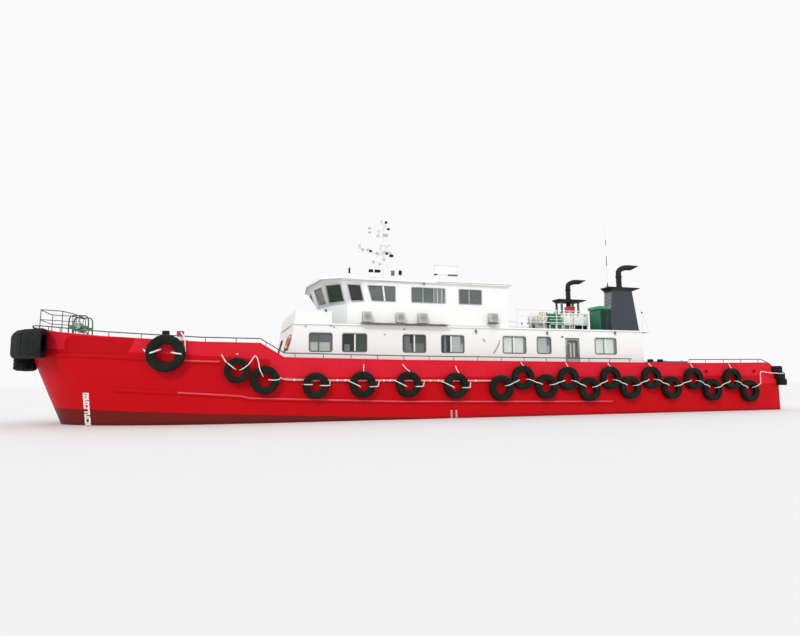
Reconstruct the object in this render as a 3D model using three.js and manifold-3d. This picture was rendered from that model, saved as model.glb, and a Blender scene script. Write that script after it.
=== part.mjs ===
// A long low steel tugboat, afloat. Millimetres, +X towards the bow, +Y to port, +Z up.
// The origin lies on the waterline and the centreline, a little aft of the stem-to-stern middle.
import * as THREE from 'three';
import { mergeVertices } from 'three/addons/utils/BufferGeometryUtils.js';
import Module from 'manifold-3d';

const wasm = await Module();
wasm.setup();

// Driving dimensions
const halfBeam = 3750;
const transomX = -18860;
const keelZ = -1900;
const mainDeckZ = 1900;
const breakX = 9300;            // aft end of the raised forecastle
const forecastleDeckAftZ = 2650;
const forecastleDeckBowZ = 3150;
const bulwarkPlate = 70;
const houseWall = 80;
const houseHalf = 2800;         // half breadth of both houses
const houseAftX = -10500;
const boatDeckZ = 4330;         // top of the boat deck plate
const boatDeckPlate = 80;
const upperAftX = -2450;
const roofZ = 6400;             // underside of the wheelhouse roof
const roofPlate = 100;
const seat = 0.3;               // running gap between touching pieces

// Levels of the hull: height, half breadth, stem x, stern x, start of the bow curve, bow fullness
const knuckleZ = 1460;
const hullLevels = [
  [keelZ, 2950, 15000, -10500, 6500, 2.0],
  [-1700, 3450, 15900, -11300, 7000, 2.0],
  [-1350, 3680, 16650, -12600, 7600, 2.0],
  [-800, 3750, 17250, -14700, 8300, 2.05],
  [-380, 3750, 17540, -16400, 8700, 2.1],
  [-180, 3750, 17650, transomX, 8900, 2.1],
  [0, 3750, 17770, transomX, 9200, 2.1],
  [1220, 3750, 18290, transomX, 10300, 2.25],
  [knuckleZ, 3750, 18389, transomX, 10547, 2.285],
  [mainDeckZ, 3750, 18570, transomX, 11000, 2.35],
  [2700, 3750, 18900, transomX, 11500, 2.4],
  [4000, 3750, 19080, transomX, 11900, 2.5],
];
const bowSteps = 10;
const bowSideCurve = 2 / 2.05;
// Radius of the stern corners: height, radius. They are tight up to the knuckle and round off above it
const sternCorners = [[keelZ, 150], [knuckleZ, 150], [2700, 740], [4000, 740]];
const sternCornerSteps = 3;

// Top edge of the bulwark: x, z
const bulwarkTop = [
  [transomX - 200, 2150], [transomX, 2150], [-18130, 2585], [-13330, 2545], [-7020, 2565], [-1430, 2600],
  [3560, 2630], [8725, 2713], [9726, 3310], [12130, 3330], [14030, 3420], [15840, 3530], [17200, 3680],
  [18540, 3860], [19300, 3960],
];

// Basic solids

function solidOf(geometry) {
  const bare = geometry.index ? geometry.toNonIndexed() : geometry.clone();
  bare.deleteAttribute('normal');
  bare.deleteAttribute('uv');
  const merged = mergeVertices(bare, 1e-3);
  const triangles = new Uint32Array(merged.index.array);
  return new wasm.Manifold(new wasm.Mesh({
    numProp: 3,
    vertProperties: new Float32Array(merged.attributes.position.array),
    triVerts: triangles,
  }));
}

function geometryOf(solid) {
  const mesh = solid.getMesh();
  const geometry = new THREE.BufferGeometry();
  geometry.setAttribute('position', new THREE.BufferAttribute(new Float32Array(mesh.vertProperties), 3));
  geometry.setIndex(new THREE.BufferAttribute(new Uint32Array(mesh.triVerts), 1));
  geometry.computeVertexNormals();
  return geometry;
}

function join(solids) {
  return solids.reduce((sum, next) => sum.add(next));
}

function cut(body, tools) {
  return tools.reduce((rest, tool) => rest.subtract(tool), body);
}

function box(x0, x1, y0, y1, z0, z1) {
  const geometry = new THREE.BoxGeometry(x1 - x0, y1 - y0, z1 - z0);
  geometry.translate((x0 + x1) / 2, (y0 + y1) / 2, (z0 + z1) / 2);
  return solidOf(geometry);
}

// A round bar or cone; axis is 'x', 'y' or 'z' and the place is its middle
function roundBar(radius, length, axis, x, y, z, sides = 12, endRadius = radius) {
  const geometry = new THREE.CylinderGeometry(endRadius, radius, length, sides);
  if (axis === 'x') geometry.rotateZ(-Math.PI / 2);
  if (axis === 'z') geometry.rotateX(Math.PI / 2);
  geometry.translate(x, y, z);
  return solidOf(geometry);
}

function prism(points, from, to, basis) {
  const shape = new THREE.Shape(points.map(([a, b]) => new THREE.Vector2(a, b)));
  const geometry = new THREE.ExtrudeGeometry(shape, { depth: to - from, bevelEnabled: false });
  geometry.applyMatrix4(basis);
  return geometry;
}

// Outline in x and z, thick along y
function prismXZ(points, y0, y1) {
  const basis = new THREE.Matrix4().makeBasis(
    new THREE.Vector3(1, 0, 0), new THREE.Vector3(0, 0, 1), new THREE.Vector3(0, -1, 0));
  const geometry = prism(points, y0, y1, basis);
  geometry.translate(0, y1, 0);
  return solidOf(geometry);
}

// Outline in x and y, thick along z
function prismXY(points, z0, z1) {
  const geometry = prism(points, z0, z1, new THREE.Matrix4());
  geometry.translate(0, 0, z0);
  return solidOf(geometry);
}

// A closed body through rings that all have the same number of points
function loft(rings, capTriangles) {
  const count = rings[0].length;
  const positions = rings.flat(2);
  const last = (rings.length - 1) * count;
  const triangles = [];
  for (let ring = 0; ring < rings.length - 1; ring += 1) {
    for (let i = 0; i < count; i += 1) {
      const a = ring * count + i;
      const b = ring * count + (i + 1) % count;
      triangles.push(a, b, b + count, a, b + count, a + count);
    }
  }
  const fan = Array.from({ length: count - 2 }, (_, i) => [0, i + 1, i + 2]);
  for (const cap of capTriangles ?? fan) {
    const [a, b, c] = cap.slice().sort((first, second) => first - second);
    triangles.push(a, c, b, last + a, last + b, last + c);
  }
  const geometry = new THREE.BufferGeometry();
  geometry.setAttribute('position', new THREE.Float32BufferAttribute(positions, 3));
  geometry.setIndex(triangles);
  if (signedVolume(positions, triangles) < 0) geometry.setIndex(triangles.reverse());
  return solidOf(geometry);
}

function signedVolume(positions, triangles) {
  const corner = (i) => new THREE.Vector3(...positions.slice(3 * i, 3 * i + 3));
  let volume = 0;
  for (let i = 0; i < triangles.length; i += 3) {
    const [a, b, c] = [corner(triangles[i]), corner(triangles[i + 1]), corner(triangles[i + 2])];
    volume += a.dot(b.cross(c)) / 6;
  }
  return volume;
}

// A bar of constant section along a bent path; the section's points are [side, up]
function sweep(path, section) {
  const points = path.map((p) => new THREE.Vector3(...p));
  const rings = points.map((point, i) => {
    const before = points[Math.max(i - 1, 0)];
    const after = points[Math.min(i + 1, points.length - 1)];
    const along = after.clone().sub(before).normalize();
    const steep = Math.abs(along.z) > 0.9;
    const hint = steep ? new THREE.Vector3(1, 0, 0) : new THREE.Vector3(0, 0, 1);
    const side = new THREE.Vector3().crossVectors(hint, along).normalize();
    const up = new THREE.Vector3().crossVectors(along, side).normalize();
    const incoming = point.clone().sub(before);
    const bend = i > 0 && i < points.length - 1 ? Math.max(incoming.normalize().dot(along), 0.6) : 1;
    return section.map(([s, u]) => {
      const corner = point.clone().addScaledVector(side, s / bend).addScaledVector(up, u);
      return [corner.x, corner.y, corner.z];
    });
  });
  return loft(rings);
}

function roundSection(radius, sides) {
  return Array.from({ length: sides }, (_, i) => {
    const angle = (Math.PI * 2 * (i + 0.5)) / sides;
    return [radius * Math.cos(angle), radius * Math.sin(angle)];
  });
}

function rod(path, radius, sides = 4) {
  return sweep(path, roundSection(radius, sides));
}

function roundedRectangle(a0, a1, b0, b1, radius, steps = 1) {
  const corners = [[a1 - radius, b1 - radius, 0], [a0 + radius, b1 - radius, 1],
    [a0 + radius, b0 + radius, 2], [a1 - radius, b0 + radius, 3]];
  return corners.flatMap(([a, b, turn]) => Array.from({ length: steps + 1 }, (_, i) => {
    const angle = (turn + i / steps) * Math.PI / 2;
    return [a + radius * Math.cos(angle), b + radius * Math.sin(angle)];
  }));
}

function mirrored(solid) {
  return solid.mirror([0, 1, 0]);
}

function tableAt(table, x) {
  const next = table.findIndex(([edge]) => edge >= x);
  if (next <= 0) return (next === 0 ? table[0] : table[table.length - 1]).slice(1);
  const [low, high] = [table[next - 1], table[next]];
  const share = (x - low[0]) / (high[0] - low[0]);
  return low.slice(1).map((value, i) => value + share * (high[i + 1] - value));
}

const topEdgeAt = (x) => tableAt(bulwarkTop, x)[0];

// Hull surface

// Port half of the hull's outline at one height, from the transom to the stem
function halfOutline(z, grow) {
  const [breadth, stem, stern, shoulder, fullness] = tableAt(hullLevels, z);
  const half = breadth + grow;
  const bowX = stem + grow;
  const aftX = stern - grow;
  const radius = tableAt(sternCorners, z)[0] + grow;
  const points = [[aftX, 0]];
  for (let i = 0; i <= sternCornerSteps; i += 1) {
    const angle = (i / sternCornerSteps) * Math.PI / 2;
    points.push([aftX + radius * (1 - Math.cos(angle)), half - radius * (1 - Math.sin(angle))]);
  }
  for (let i = 0; i < bowSteps; i += 1) {
    const angle = (i / bowSteps) * Math.PI / 2;
    const x = shoulder + (bowX - shoulder) * Math.sin(angle) ** (2 / fullness);
    points.push([x, half * Math.cos(angle) ** bowSideCurve]);
  }
  points.push([bowX, 0]);
  return points;
}

function outlineRing(z, grow) {
  const port = halfOutline(z, grow);
  const starboard = port.slice(1, -1).reverse().map(([x, y]) => [x, -y]);
  return [...port, ...starboard].map(([x, y]) => [x, y, z]);
}

// The hull's whole form, moved out by grow all round, between two heights
function hullBody(bottom, top, grow = 0) {
  const rings = hullLevels.map(([z]) => outlineRing(z, grow));
  const contour = rings[0].map(([x, y]) => new THREE.Vector2(x, y));
  const whole = loft(rings, THREE.ShapeUtils.triangulateShape(contour, []));
  return whole.intersect(box(-30000, 30000, -6000, 6000, bottom, top));
}

// Half breadth of the hull at a place along it
function sideAt(x, z) {
  const [breadth, stem, , shoulder, fullness] = tableAt(hullLevels, z);
  if (x <= shoulder) return breadth;
  const share = Math.min((x - shoulder) / (stem - shoulder), 1);
  const angle = Math.asin(share ** (fullness / 2));
  return breadth * Math.cos(angle) ** bowSideCurve;
}

// A flat band along the side, from a line of [x, z] points, standing out from the plating
function strake(line, height, proud, bottom, top) {
  const band = [...line, ...line.slice().reverse().map(([x, z]) => [x, z - height])];
  return hullBody(bottom, top, proud).intersect(prismXZ(band, -5000, 5000));
}

const strakeHeight = 130;
const strakeProud = 60;
const lowerStrake = [[-7640, 675], [-1730, 765], [3590, 850], [10100, 1085], [10310, 1165], [12070, 1290],
  [15360, 1500]];
const middleStrake = [[-900, 1750], [2270, 1785], [7360, 1835], [8680, 1899]];
const bowStrake = [[11330, 2590], [12500, 2620], [14370, 2730], [15800, 2840], [17630, 2920]];

// The rudder stocks turn against flat bosses under the counter
const shaftY = 1700;
const rudderX = -17600;
const rudderBossZ = -420;
const rudderBosses = [-1, 1].map((side) =>
  roundBar(130, 320, 'z', rudderX, side * shaftY, rudderBossZ + 160, 12));

const skegOutline = [[-16000, keelZ], [-15850, -250], [-11000, -250], [-11000, keelZ]];
const skegHalf = 60;

const hull = join([
  hullBody(keelZ, mainDeckZ),
  prismXZ(skegOutline, -skegHalf, skegHalf),
  ...rudderBosses,
  strake(lowerStrake, strakeHeight, strakeProud, 400, mainDeckZ),
  strake(middleStrake, strakeHeight, strakeProud, 1000, mainDeckZ),
]);

// Raised forecastle and bulwarks

const forecastleDeckAt = (x) => forecastleDeckAftZ
  + (forecastleDeckBowZ - forecastleDeckAftZ) * (x - breakX) / (19000 - breakX);
const bowEndX = 19500;
const forecastleOutline = [[breakX, mainDeckZ], [bowEndX, mainDeckZ],
  [bowEndX, forecastleDeckAt(bowEndX)], [breakX, forecastleDeckAftZ]];
const forecastle = join([
  hullBody(mainDeckZ, 3300).intersect(prismXZ(forecastleOutline, -5000, 5000)),
  strake(bowStrake, strakeHeight, strakeProud, 2300, 3300),
]);

// Space that the forecastle deck takes, with the running gap above it: what stands there is cut to this slope
const underForecastleDeck = prismXZ(
  forecastleOutline.map(([x, z]) => [x, z > mainDeckZ ? z + seat : z]), -5000, 5000);

// Fore and aft slice of the bulwark shell on one side
const bulwarkShell = hullBody(mainDeckZ, 3990).subtract(hullBody(mainDeckZ - 5, 3995, -bulwarkPlate));
const ropeHoles = [-17020, -13705];
const ropeHoleSize = [240, 190];
const ropeHoleDrop = 430;

function bulwark(outline) {
  return bulwarkShell.intersect(prismXZ(outline, -5000, 5000));
}

// The stern plate bends round the transom; the side plates are straight from there to the forecastle
const sternPlateX = -18050;
const sideTop = bulwarkTop.filter(([x]) => x > sternPlateX && x <= 8725);
const bowTop = bulwarkTop.filter(([x]) => x >= 9726);
const sideBulwark = bulwark([
  [sternPlateX, topEdgeAt(sternPlateX)], ...sideTop, [breakX, topEdgeAt(breakX)], [breakX, mainDeckZ],
  [sternPlateX, mainDeckZ]]);
const bulwarkStern = bulwark([
  [transomX - 200, mainDeckZ], ...bulwarkTop.filter(([x]) => x < sternPlateX),
  [sternPlateX - seat, topEdgeAt(sternPlateX - seat)], [sternPlateX - seat, mainDeckZ]]);
const bulwarkBow = bulwark([
  [breakX + seat, topEdgeAt(breakX)], ...bowTop,
  [19300, forecastleDeckAt(19300) + seat], [breakX + seat, forecastleDeckAftZ + seat]]);
const holeCuts = ropeHoles.map((x) => {
  const middle = topEdgeAt(x) - ropeHoleDrop;
  const [w, h] = ropeHoleSize;
  return prismXZ(roundedRectangle(x - w / 2, x + w / 2, middle - h / 2, middle + h / 2, 80), -5000, 5000);
});
const portSide = box(-25000, 25000, 0.2, 6000, -5000, 9000);
const bulwarkPort = cut(sideBulwark, holeCuts).intersect(portSide);

// Rubber fenders

const fenderMidZ = 3305;
const fenderSection = [
  [-420, -340], [-260, -575], [230, -575], [395, -390], [395, 340], [230, 575], [-260, 575], [-420, 340]];
const fenderStandOff = 380;
const fenderEndX = 18060;         // both ends are cut square to the centreline

function bowFenderPath() {
  const outline = halfOutline(fenderMidZ, fenderStandOff).filter(([x]) => x > fenderEndX - 1000);
  const port = outline.map(([x, y]) => [x, y, fenderMidZ]);
  const starboard = port.slice(0, -1).reverse().map(([x, y]) => [x, -y, fenderMidZ]);
  return [...port, ...starboard].reverse();
}

const lumpRadius = 360;
const bowLumps = [-1, 1].map((side) => roundBar(lumpRadius, 700, 'z', 19290, side * 330, 2590, 12));
const raisedBowStrake = bowStrake.map(([x, z]) => [x, z + seat]);
const bowFender = cut(join([sweep(bowFenderPath(), fenderSection), ...bowLumps]), [
  box(0, fenderEndX, -6000, 6000, 0, 9000),
  hullBody(mainDeckZ, 4000, seat),
  strake(raisedBowStrake, strakeHeight + 2 * seat, strakeProud + seat, 2300, 3300),
]);

// Lumps of the stern fenders, from the bottom: height, radius, x, y
const sternFenderLumps = [[1540, 300, -18890, 3790], [1890, 300, -18750, 3820], [2240, 290, -18580, 3830]];
const sternFenderPort = cut(
  join(sternFenderLumps.map(([z, radius, x, y]) => roundBar(radius, 370, 'z', x, y, z, 14, radius * 0.94))),
  [hullBody(-500, 4000, seat)]);

// Side tyres: x, z, outer radius. They hang just clear of the strakes, lashed to one rope.
const bowTyrePlace = [13420, 2864, 755];
const tyrePlaces = [
  [10660, 2180, 530], [9530, 1790, 600], [7400, 1540, 565], [5340, 1570, 585],
  [3230, 1560, 585], [940, 1490, 600], [-1370, 1360, 600], [-2520, 1840, 580], [-3780, 1410, 590],
  [-5010, 1780, 580], [-6200, 1260, 590], [-7450, 1800, 580], [-8620, 1320, 590], [-9940, 1810, 580],
  [-11200, 1290, 590], [-12630, 1750, 580], [-13840, 1160, 590], [-15220, 1720, 580], [-16410, 1080, 590],
];
const tyreHalfWidth = 150;
const tyreSegments = 10;
const ropeRadius = 24;

function tyre(x, z, radius) {
  const size = radius / 600;
  const hole = 300 * size;
  const profile = [[hole, -tyreHalfWidth * 0.8], [radius, -tyreHalfWidth], [radius, tyreHalfWidth],
    [hole, tyreHalfWidth * 0.8], [hole, -tyreHalfWidth * 0.8]];
  const geometry = new THREE.LatheGeometry(profile.map(([r, w]) => new THREE.Vector2(r, w)), tyreSegments);
  geometry.rotateZ(tyreTurn(x, z, radius));
  geometry.translate(x, tyreMiddleY(x, z, radius), z);
  return solidOf(geometry);
}

// A tyre lies along the tangent of the plating at its own top
const tyreTurn = (x, z, radius) => Math.atan((sideAt(x + 50, z + radius) - sideAt(x - 50, z + radius)) / 100);
const tyreMiddleY = (x, z, radius) => sideAt(x, z + radius)
  + (strakeProud + tyreHalfWidth + seat) / Math.cos(tyreTurn(x, z, radius));

function tyreRow() {
  const tyres = tyrePlaces.map((place) => tyre(...place));
  const ropes = tyrePlaces.slice(1).map(([x, z, radius], i) => {
    const [x0, z0, radius0] = tyrePlaces[i];
    const from = [x0, tyreMiddleY(x0, z0, radius0), z0 + radius0 * 0.8];
    const to = [x, tyreMiddleY(x, z, radius), z + radius * 0.8];
    return rod([from, to], ropeRadius, 4);
  });
  return join([...tyres, ...ropes]);
}

const tyresPort = tyreRow();

// The big forward tyre is held by two short lashings that end at the bulwark
const bowLashingReach = 480;
const bowLashingZ = 3200;
const bowTyreUncut = join([
  tyre(...bowTyrePlace),
  ...[-1, 1].map((end) => {
    const x = bowTyrePlace[0] + end * bowLashingReach;
    const inside = [x, sideAt(x, bowLashingZ) - 50, bowLashingZ];
    return rod([inside, [x, tyreMiddleY(...bowTyrePlace), bowLashingZ]], ropeRadius);
  }),
]);
// Each side is trimmed against its own plating, because the plating's facets aren't mirror images
const besideBow = hullBody(mainDeckZ, 3995, seat);
const bowTyrePort = bowTyreUncut.subtract(besideBow);
const bowTyreStarboard = mirrored(bowTyreUncut).subtract(besideBow);

// Handrails

const railRadius = 26;
const railLift = 220;
const postHalf = 15;
const postSpacing = 1222.5;
const firstPostX = -17410;
const bulwarkRailInset = 35;

function bulwarkRail(places) {
  return places.map((x) => [x, sideAt(x, 3000) - bulwarkRailInset, topEdgeAt(x) + railLift]);
}

const railPosts = (path) => path.map(([x, y, z]) =>
  box(x - postHalf, x + postHalf, y - postHalf, y + postHalf, z - railLift - 30, z));
const underBulwarkTop = prismXZ(
  [...bulwarkTop.map(([x, z]) => [x, z + seat]), [19300, 0], [transomX - 200, 0]], -5000, 5000);

const sideRailPath = [
  [-18110, halfBeam - bulwarkRailInset, topEdgeAt(-18110) + seat + 20],
  ...bulwarkRail([-17620, -13330, -7020, -1430, 3560, 8725, 9726, 12130, 13100, 14030, 14900, 15600, 16200,
    16700])];
const postCount = 28;
const sidePosts = Array.from({ length: postCount }, (_, i) => firstPostX + i * postSpacing)
  .map((x) => [x, ...tableAt(sideRailPath, x)]);
const bowRailPath = [16950, 17500, 18000, 18450, 18800].map((x) =>
  [x, sideAt(x, 3700) - bulwarkRailInset, topEdgeAt(x) + railLift]);
const bowRailTip = [19050, 0, topEdgeAt(18900) + railLift];
const railPort = join([
  rod(sideRailPath, railRadius), ...railPosts(sidePosts)]).subtract(underBulwarkTop);

const pulpitHalf = 1000;
// Pulpit posts: x, height of the top rail, height of the middle rail
const pulpitPosts = [[18616, 4810, 4390], [17763, 4770, 4350], [17232, 4640, 4320]];
const pulpitPostHalf = 17;
const bowRailFull = [...bowRailPath, bowRailTip,
  ...bowRailPath.slice().reverse().map(([x, y, z]) => [x, -y, z])];
const railBow = join([rod(bowRailFull, railRadius), ...railPosts(bowRailFull)]).subtract(underBulwarkTop);

function pulpitRail(level) {
  const side = pulpitPosts.map((post) => [post[0], pulpitHalf, post[level]]).reverse();
  return [...side, ...side.slice().reverse().map(([x, y, z]) => [x, -y, z])];
}

const bowPulpit = join([
  rod(pulpitRail(1), 20), rod(pulpitRail(2), 17),
  ...pulpitPosts.flatMap(([x, z]) => [-1, 1].map((side) => {
    const y = side * pulpitHalf;
    return box(x - pulpitPostHalf, x + pulpitPostHalf, y - pulpitPostHalf, y + pulpitPostHalf,
      forecastleDeckAt(x) - 20, z + 5);
  })),
]).subtract(underForecastleDeck);

// Anchor windlass

const windlassX = 17230;
const windlassFoot = forecastleDeckAt(windlassX) + 25;
const windlassShaftZ = 4150;
const windlassHalf = 480;
const windlassTube = 28;
const windlassHoop = [[390, windlassFoot], [370, 4510], [260, 4650], [-260, 4650], [-370, 4510],
  [-390, windlassFoot]];
const windlassFrame = join([
  box(windlassX - 520, windlassX + 520, -windlassHalf - 100, windlassHalf + 100,
    windlassFoot - 90, windlassFoot + 60),
  ...[-1, 1].flatMap((side) => {
    const y = side * windlassHalf;
    return [
      rod(windlassHoop.map(([across, z]) => [windlassX + across, y, z]), windlassTube),
      box(windlassX - 380, windlassX + 380, y - 25, y + 25, windlassShaftZ - 60, windlassShaftZ + 60),
    ];
  }),
  roundBar(windlassTube, 2 * windlassHalf, 'y', windlassX, 0, 4650, 6),
]).subtract(roundBar(46, 1400, 'y', windlassX, 0, windlassShaftZ, 12)).subtract(underForecastleDeck);

const windlassDrum = join([
  roundBar(45.5, 2 * windlassHalf + 330, 'y', windlassX, 0, windlassShaftZ, 12),
  roundBar(120, 560, 'y', windlassX, 0, windlassShaftZ, 14),
  ...[-1, 1].flatMap((side) => [
    roundBar(205, 50, 'y', windlassX, side * 290, windlassShaftZ, 16),
    roundBar(100, 160, 'y', windlassX, side * (windlassHalf + 130), windlassShaftZ, 12),
  ]),
]);

// Bollards: two posts on a base, a cross bar through them, a cap on each
function bitts(x, y, deckZ, height, spread, slope = 0) {
  const posts = [-1, 1].flatMap((end) => {
    const px = x + end * spread;
    return [
      roundBar(120, height, 'z', px, y, deckZ + height / 2, 10),
      roundBar(150, 50, 'z', px, y, deckZ + height + 20, 10),
    ];
  });
  return join([
    ...posts,
    prismXZ([[x - 520, deckZ - 520 * slope + seat], [x + 520, deckZ + 520 * slope + seat],
      [x + 520, deckZ + 60 + 520 * slope], [x - 520, deckZ + 60 - 520 * slope]], y - 170, y + 170),
    roundBar(45, 1180, 'x', x, y, deckZ + height * 0.6, 6),
  ]);
}

const deckSlope = (forecastleDeckBowZ - forecastleDeckAftZ) / (19000 - breakX);
const bittsForwardX = 13215;
const bittsForwardY = 2950;
const bittsForwardHeight = 955;
const bittsForward = bitts(bittsForwardX, bittsForwardY, forecastleDeckAt(bittsForwardX), bittsForwardHeight,
  285, deckSlope)
  .subtract(underForecastleDeck);
const bittsAft = bitts(-11000, 3080, mainDeckZ, 850, 320)
  .subtract(box(-20000, 0, 0, 5000, 0, mainDeckZ + seat));

// Aft deck hatch with a hinged lid
const hatchX = [-15300, -13300];
const hatchHalf = 750;
const hatchTopZ = 2700;
const hatchWall = 50;
const hatchLidPlate = 90;
const hatchHingeX = hatchX[1] + 60;
const hatchHingeZ = hatchTopZ + 30;
const hatchCoaming = join([
  box(hatchX[0], hatchX[1], -hatchHalf, hatchHalf, mainDeckZ + seat, hatchTopZ)
    .subtract(box(hatchX[0] + hatchWall, hatchX[1] - hatchWall, -hatchHalf + hatchWall, hatchHalf - hatchWall,
      mainDeckZ, hatchTopZ + 1)),
  ...[-1, 1].map((side) => join([
    box(hatchX[1] - 10, hatchHingeX + 20, side * 450 - 60, side * 450 - 20, hatchTopZ - 120, hatchTopZ - 40),
    box(hatchX[1] + 20, hatchHingeX + 20, side * 450 - 60, side * 450 - 20, hatchTopZ - 120, hatchHingeZ),
    roundBar(22, 40, 'y', hatchHingeX, side * 450 - 40, hatchHingeZ, 8),
  ])),
]);
const hatchLid = join([
  box(hatchX[0] - 40, hatchX[1] + 10, -hatchHalf - 40, hatchHalf + 40, hatchTopZ + seat,
    hatchTopZ + hatchLidPlate),
  ...[-1, 1].map((side) => join([
    box(hatchX[1] - 10, hatchHingeX, side * 450 - 19, side * 450 + 21, hatchHingeZ - 8, hatchHingeZ + 30),
    roundBar(22, 40, 'y', hatchHingeX, side * 450 + 1, hatchHingeZ, 8),
  ])),
]);

// Doors. A door stands in a flat wall: u runs from the hinge along the wall, w points out of it.

const doorLeaf = 45;
const doorGap = 12;
const barrelRadius = 18;
const barrelStand = 24;

function inWall(wall, u0, u1, w0, w1, z0, z1) {
  const corners = [[u0, w0], [u1, w1]].map(([u, w]) => [
    wall.x + u * wall.along[0] + w * wall.out[0],
    wall.y + u * wall.along[1] + w * wall.out[1],
  ]);
  const [xs, ys] = [0, 1].map((i) => corners.map((c) => c[i]).sort((a, b) => a - b));
  return box(xs[0], xs[1], ys[0], ys[1], z0, z1);
}

function barrel(wall, z0, z1) {
  const x = wall.x + barrelStand * wall.out[0];
  const y = wall.y + barrelStand * wall.out[1];
  return roundBar(barrelRadius, z1 - z0, 'z', x, y, (z0 + z1) / 2, 8);
}

const hingeHeights = (wall) => [wall.z0 + 250, wall.z1 - 250];

function doorOpening(wall) {
  return inWall(wall, -doorGap, wall.width + doorGap, -400, 300, wall.z0 - doorGap, wall.z1 + doorGap);
}

function doorSolid(wall) {
  const leaf = inWall(wall, 0, wall.width, -doorLeaf, 0, wall.z0, wall.z1);
  const [paneLow, paneHigh] = wall.pane;
  const pane = inWall(wall, 120, wall.width - 120, -200, 200, paneLow, paneHigh);
  const hinges = hingeHeights(wall).map((z) => join([
    barrel(wall, z - 40, z + 40),
    inWall(wall, 0, 200, -5, barrelStand - barrelRadius + 8, z - 35, z + 35),
  ]));
  return join([leaf.subtract(pane), ...hinges]);
}

function hingeLugs(wall) {
  return join(hingeHeights(wall).flatMap((z) => [-1, 1].map((side) => {
    const [near, far] = [z + side * (40 + seat + 0.2), z + side * 100].sort((a, b) => a - b);
    return join([
      barrel(wall, near, far),
      inWall(wall, -150, 0, -5, barrelStand - barrelRadius + 8, near, far)
        .subtract(inWall(wall, -doorGap, 50, -50, -0.01, near - 1, far + 1)),
    ]);
  })));
}

const sideDoor = {
  x: -5690, y: houseHalf, along: [-1, 0], out: [0, 1], width: 820, z0: 2020, z1: 3870, pane: [2850, 3740],
};
const starboardDoor = { ...sideDoor, y: -houseHalf, out: [0, -1] };
const aftDoor = {
  x: houseAftX, y: 1650, along: [0, -1], out: [-1, 0], width: 820, z0: 2020, z1: 3870, pane: [3250, 3700],
};
const upperDoor = {
  x: upperAftX, y: 500, along: [0, -1], out: [-1, 0], width: 760, z0: boatDeckZ + 110, z1: 6190,
  pane: [5430, 6060],
};

// Lower deckhouse: front leans aft, open below onto the main deck and above onto the boat deck

const houseTopZ = boatDeckZ - boatDeckPlate;
const frontLow = [8490, 2890];
const frontHigh = [8250, 3780];
const frontRake = Math.atan2(frontLow[0] - frontHigh[0], frontHigh[1] - frontLow[1]);
const houseFront = [[8750, mainDeckZ], frontLow, frontHigh, [8190, houseTopZ]];
const houseOutline = [[houseAftX, mainDeckZ], ...houseFront, [houseAftX, houseTopZ]];
const houseInside = [
  [houseAftX + houseWall, mainDeckZ - 10],
  [houseFront[0][0] - houseWall, mainDeckZ - 10],
  ...houseFront.slice(1, -1).map(([x, z]) => [x - houseWall, z]),
  [houseFront[3][0] - houseWall, houseTopZ + 10],
  [houseAftX + houseWall, houseTopZ + 10]];
// Side windows: forward edge, aft edge
const lowerWindows = [[7510, 6490], [6000, 4870], [3100, 1980], [1160, 0], [-2120, -3380], [-4040, -4820],
  [-7470, -8770]];
const lowerWindowZ = [3070, 3880];
const frontWindowYs = [-1350, 1350];

const lowerCuts = [
  ...lowerWindows.map(([forward, aft]) => box(aft, forward, -4000, 4000, ...lowerWindowZ)),
  ...frontWindowYs.map((y) => box(8000, 9000, y - 450, y + 450, 3120, 3800)),
  ...[sideDoor, starboardDoor, aftDoor].map(doorOpening),
];
// Ladder on the aft wall, up to the boat deck, held off the wall by four lugs
const ladderX = houseAftX - 130;
const ladderY = -800;
const ladderHalf = 220;
const ladderBar = 20;
const rungCount = 7;
const rungStep = 300;
const ladder = join([
  ...[-1, 1].map((side) => {
    const y = ladderY + side * ladderHalf;
    return join([
      box(ladderX - ladderBar, ladderX + ladderBar, y - ladderBar, y + ladderBar, mainDeckZ + seat,
        houseTopZ - seat),
      ...[2400, 3900].map((z) =>
        box(ladderX, houseAftX + 10, y - ladderBar, y + ladderBar, z, z + 2 * ladderBar)),
    ]);
  }),
  ...Array.from({ length: rungCount }, (_, i) => {
    const z = mainDeckZ + (i + 1) * rungStep;
    return box(ladderX - 15, ladderX + 15, ladderY - ladderHalf, ladderY + ladderHalf, z, z + 30);
  }),
]);

const deckhouseWalls = join([
  ladder,
  cut(prismXZ(houseOutline, -houseHalf, houseHalf)
    .subtract(prismXZ(houseInside, -houseHalf + houseWall, houseHalf - houseWall)), lowerCuts),
  ...[sideDoor, starboardDoor, aftDoor].map(hingeLugs),
]);

const boatDeckX = [-10900, 8185];
const boatDeckHalf = 2812;
const boatDeck = box(boatDeckX[0], boatDeckX[1], -boatDeckHalf, boatDeckHalf, houseTopZ, boatDeckZ);

// Upper house: half outline at the foot and at the roof, from the centre of the front to the aft corner

const upperFootOutline = [[6710, 0], [6320, 1200], [5700, 2380], [4750, houseHalf], [upperAftX, houseHalf]];
const upperRoofOutline = [[7120, 0], [6830, 2400], [6110, 2930], [5020, houseHalf], [upperAftX, houseHalf]];
const rakeStartZ = 5300;

function fullOutline(half) {
  return [...half, ...half.slice(half[0][1] === 0 ? 1 : 0).reverse().map(([x, y]) => [x, -y])];
}

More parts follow.
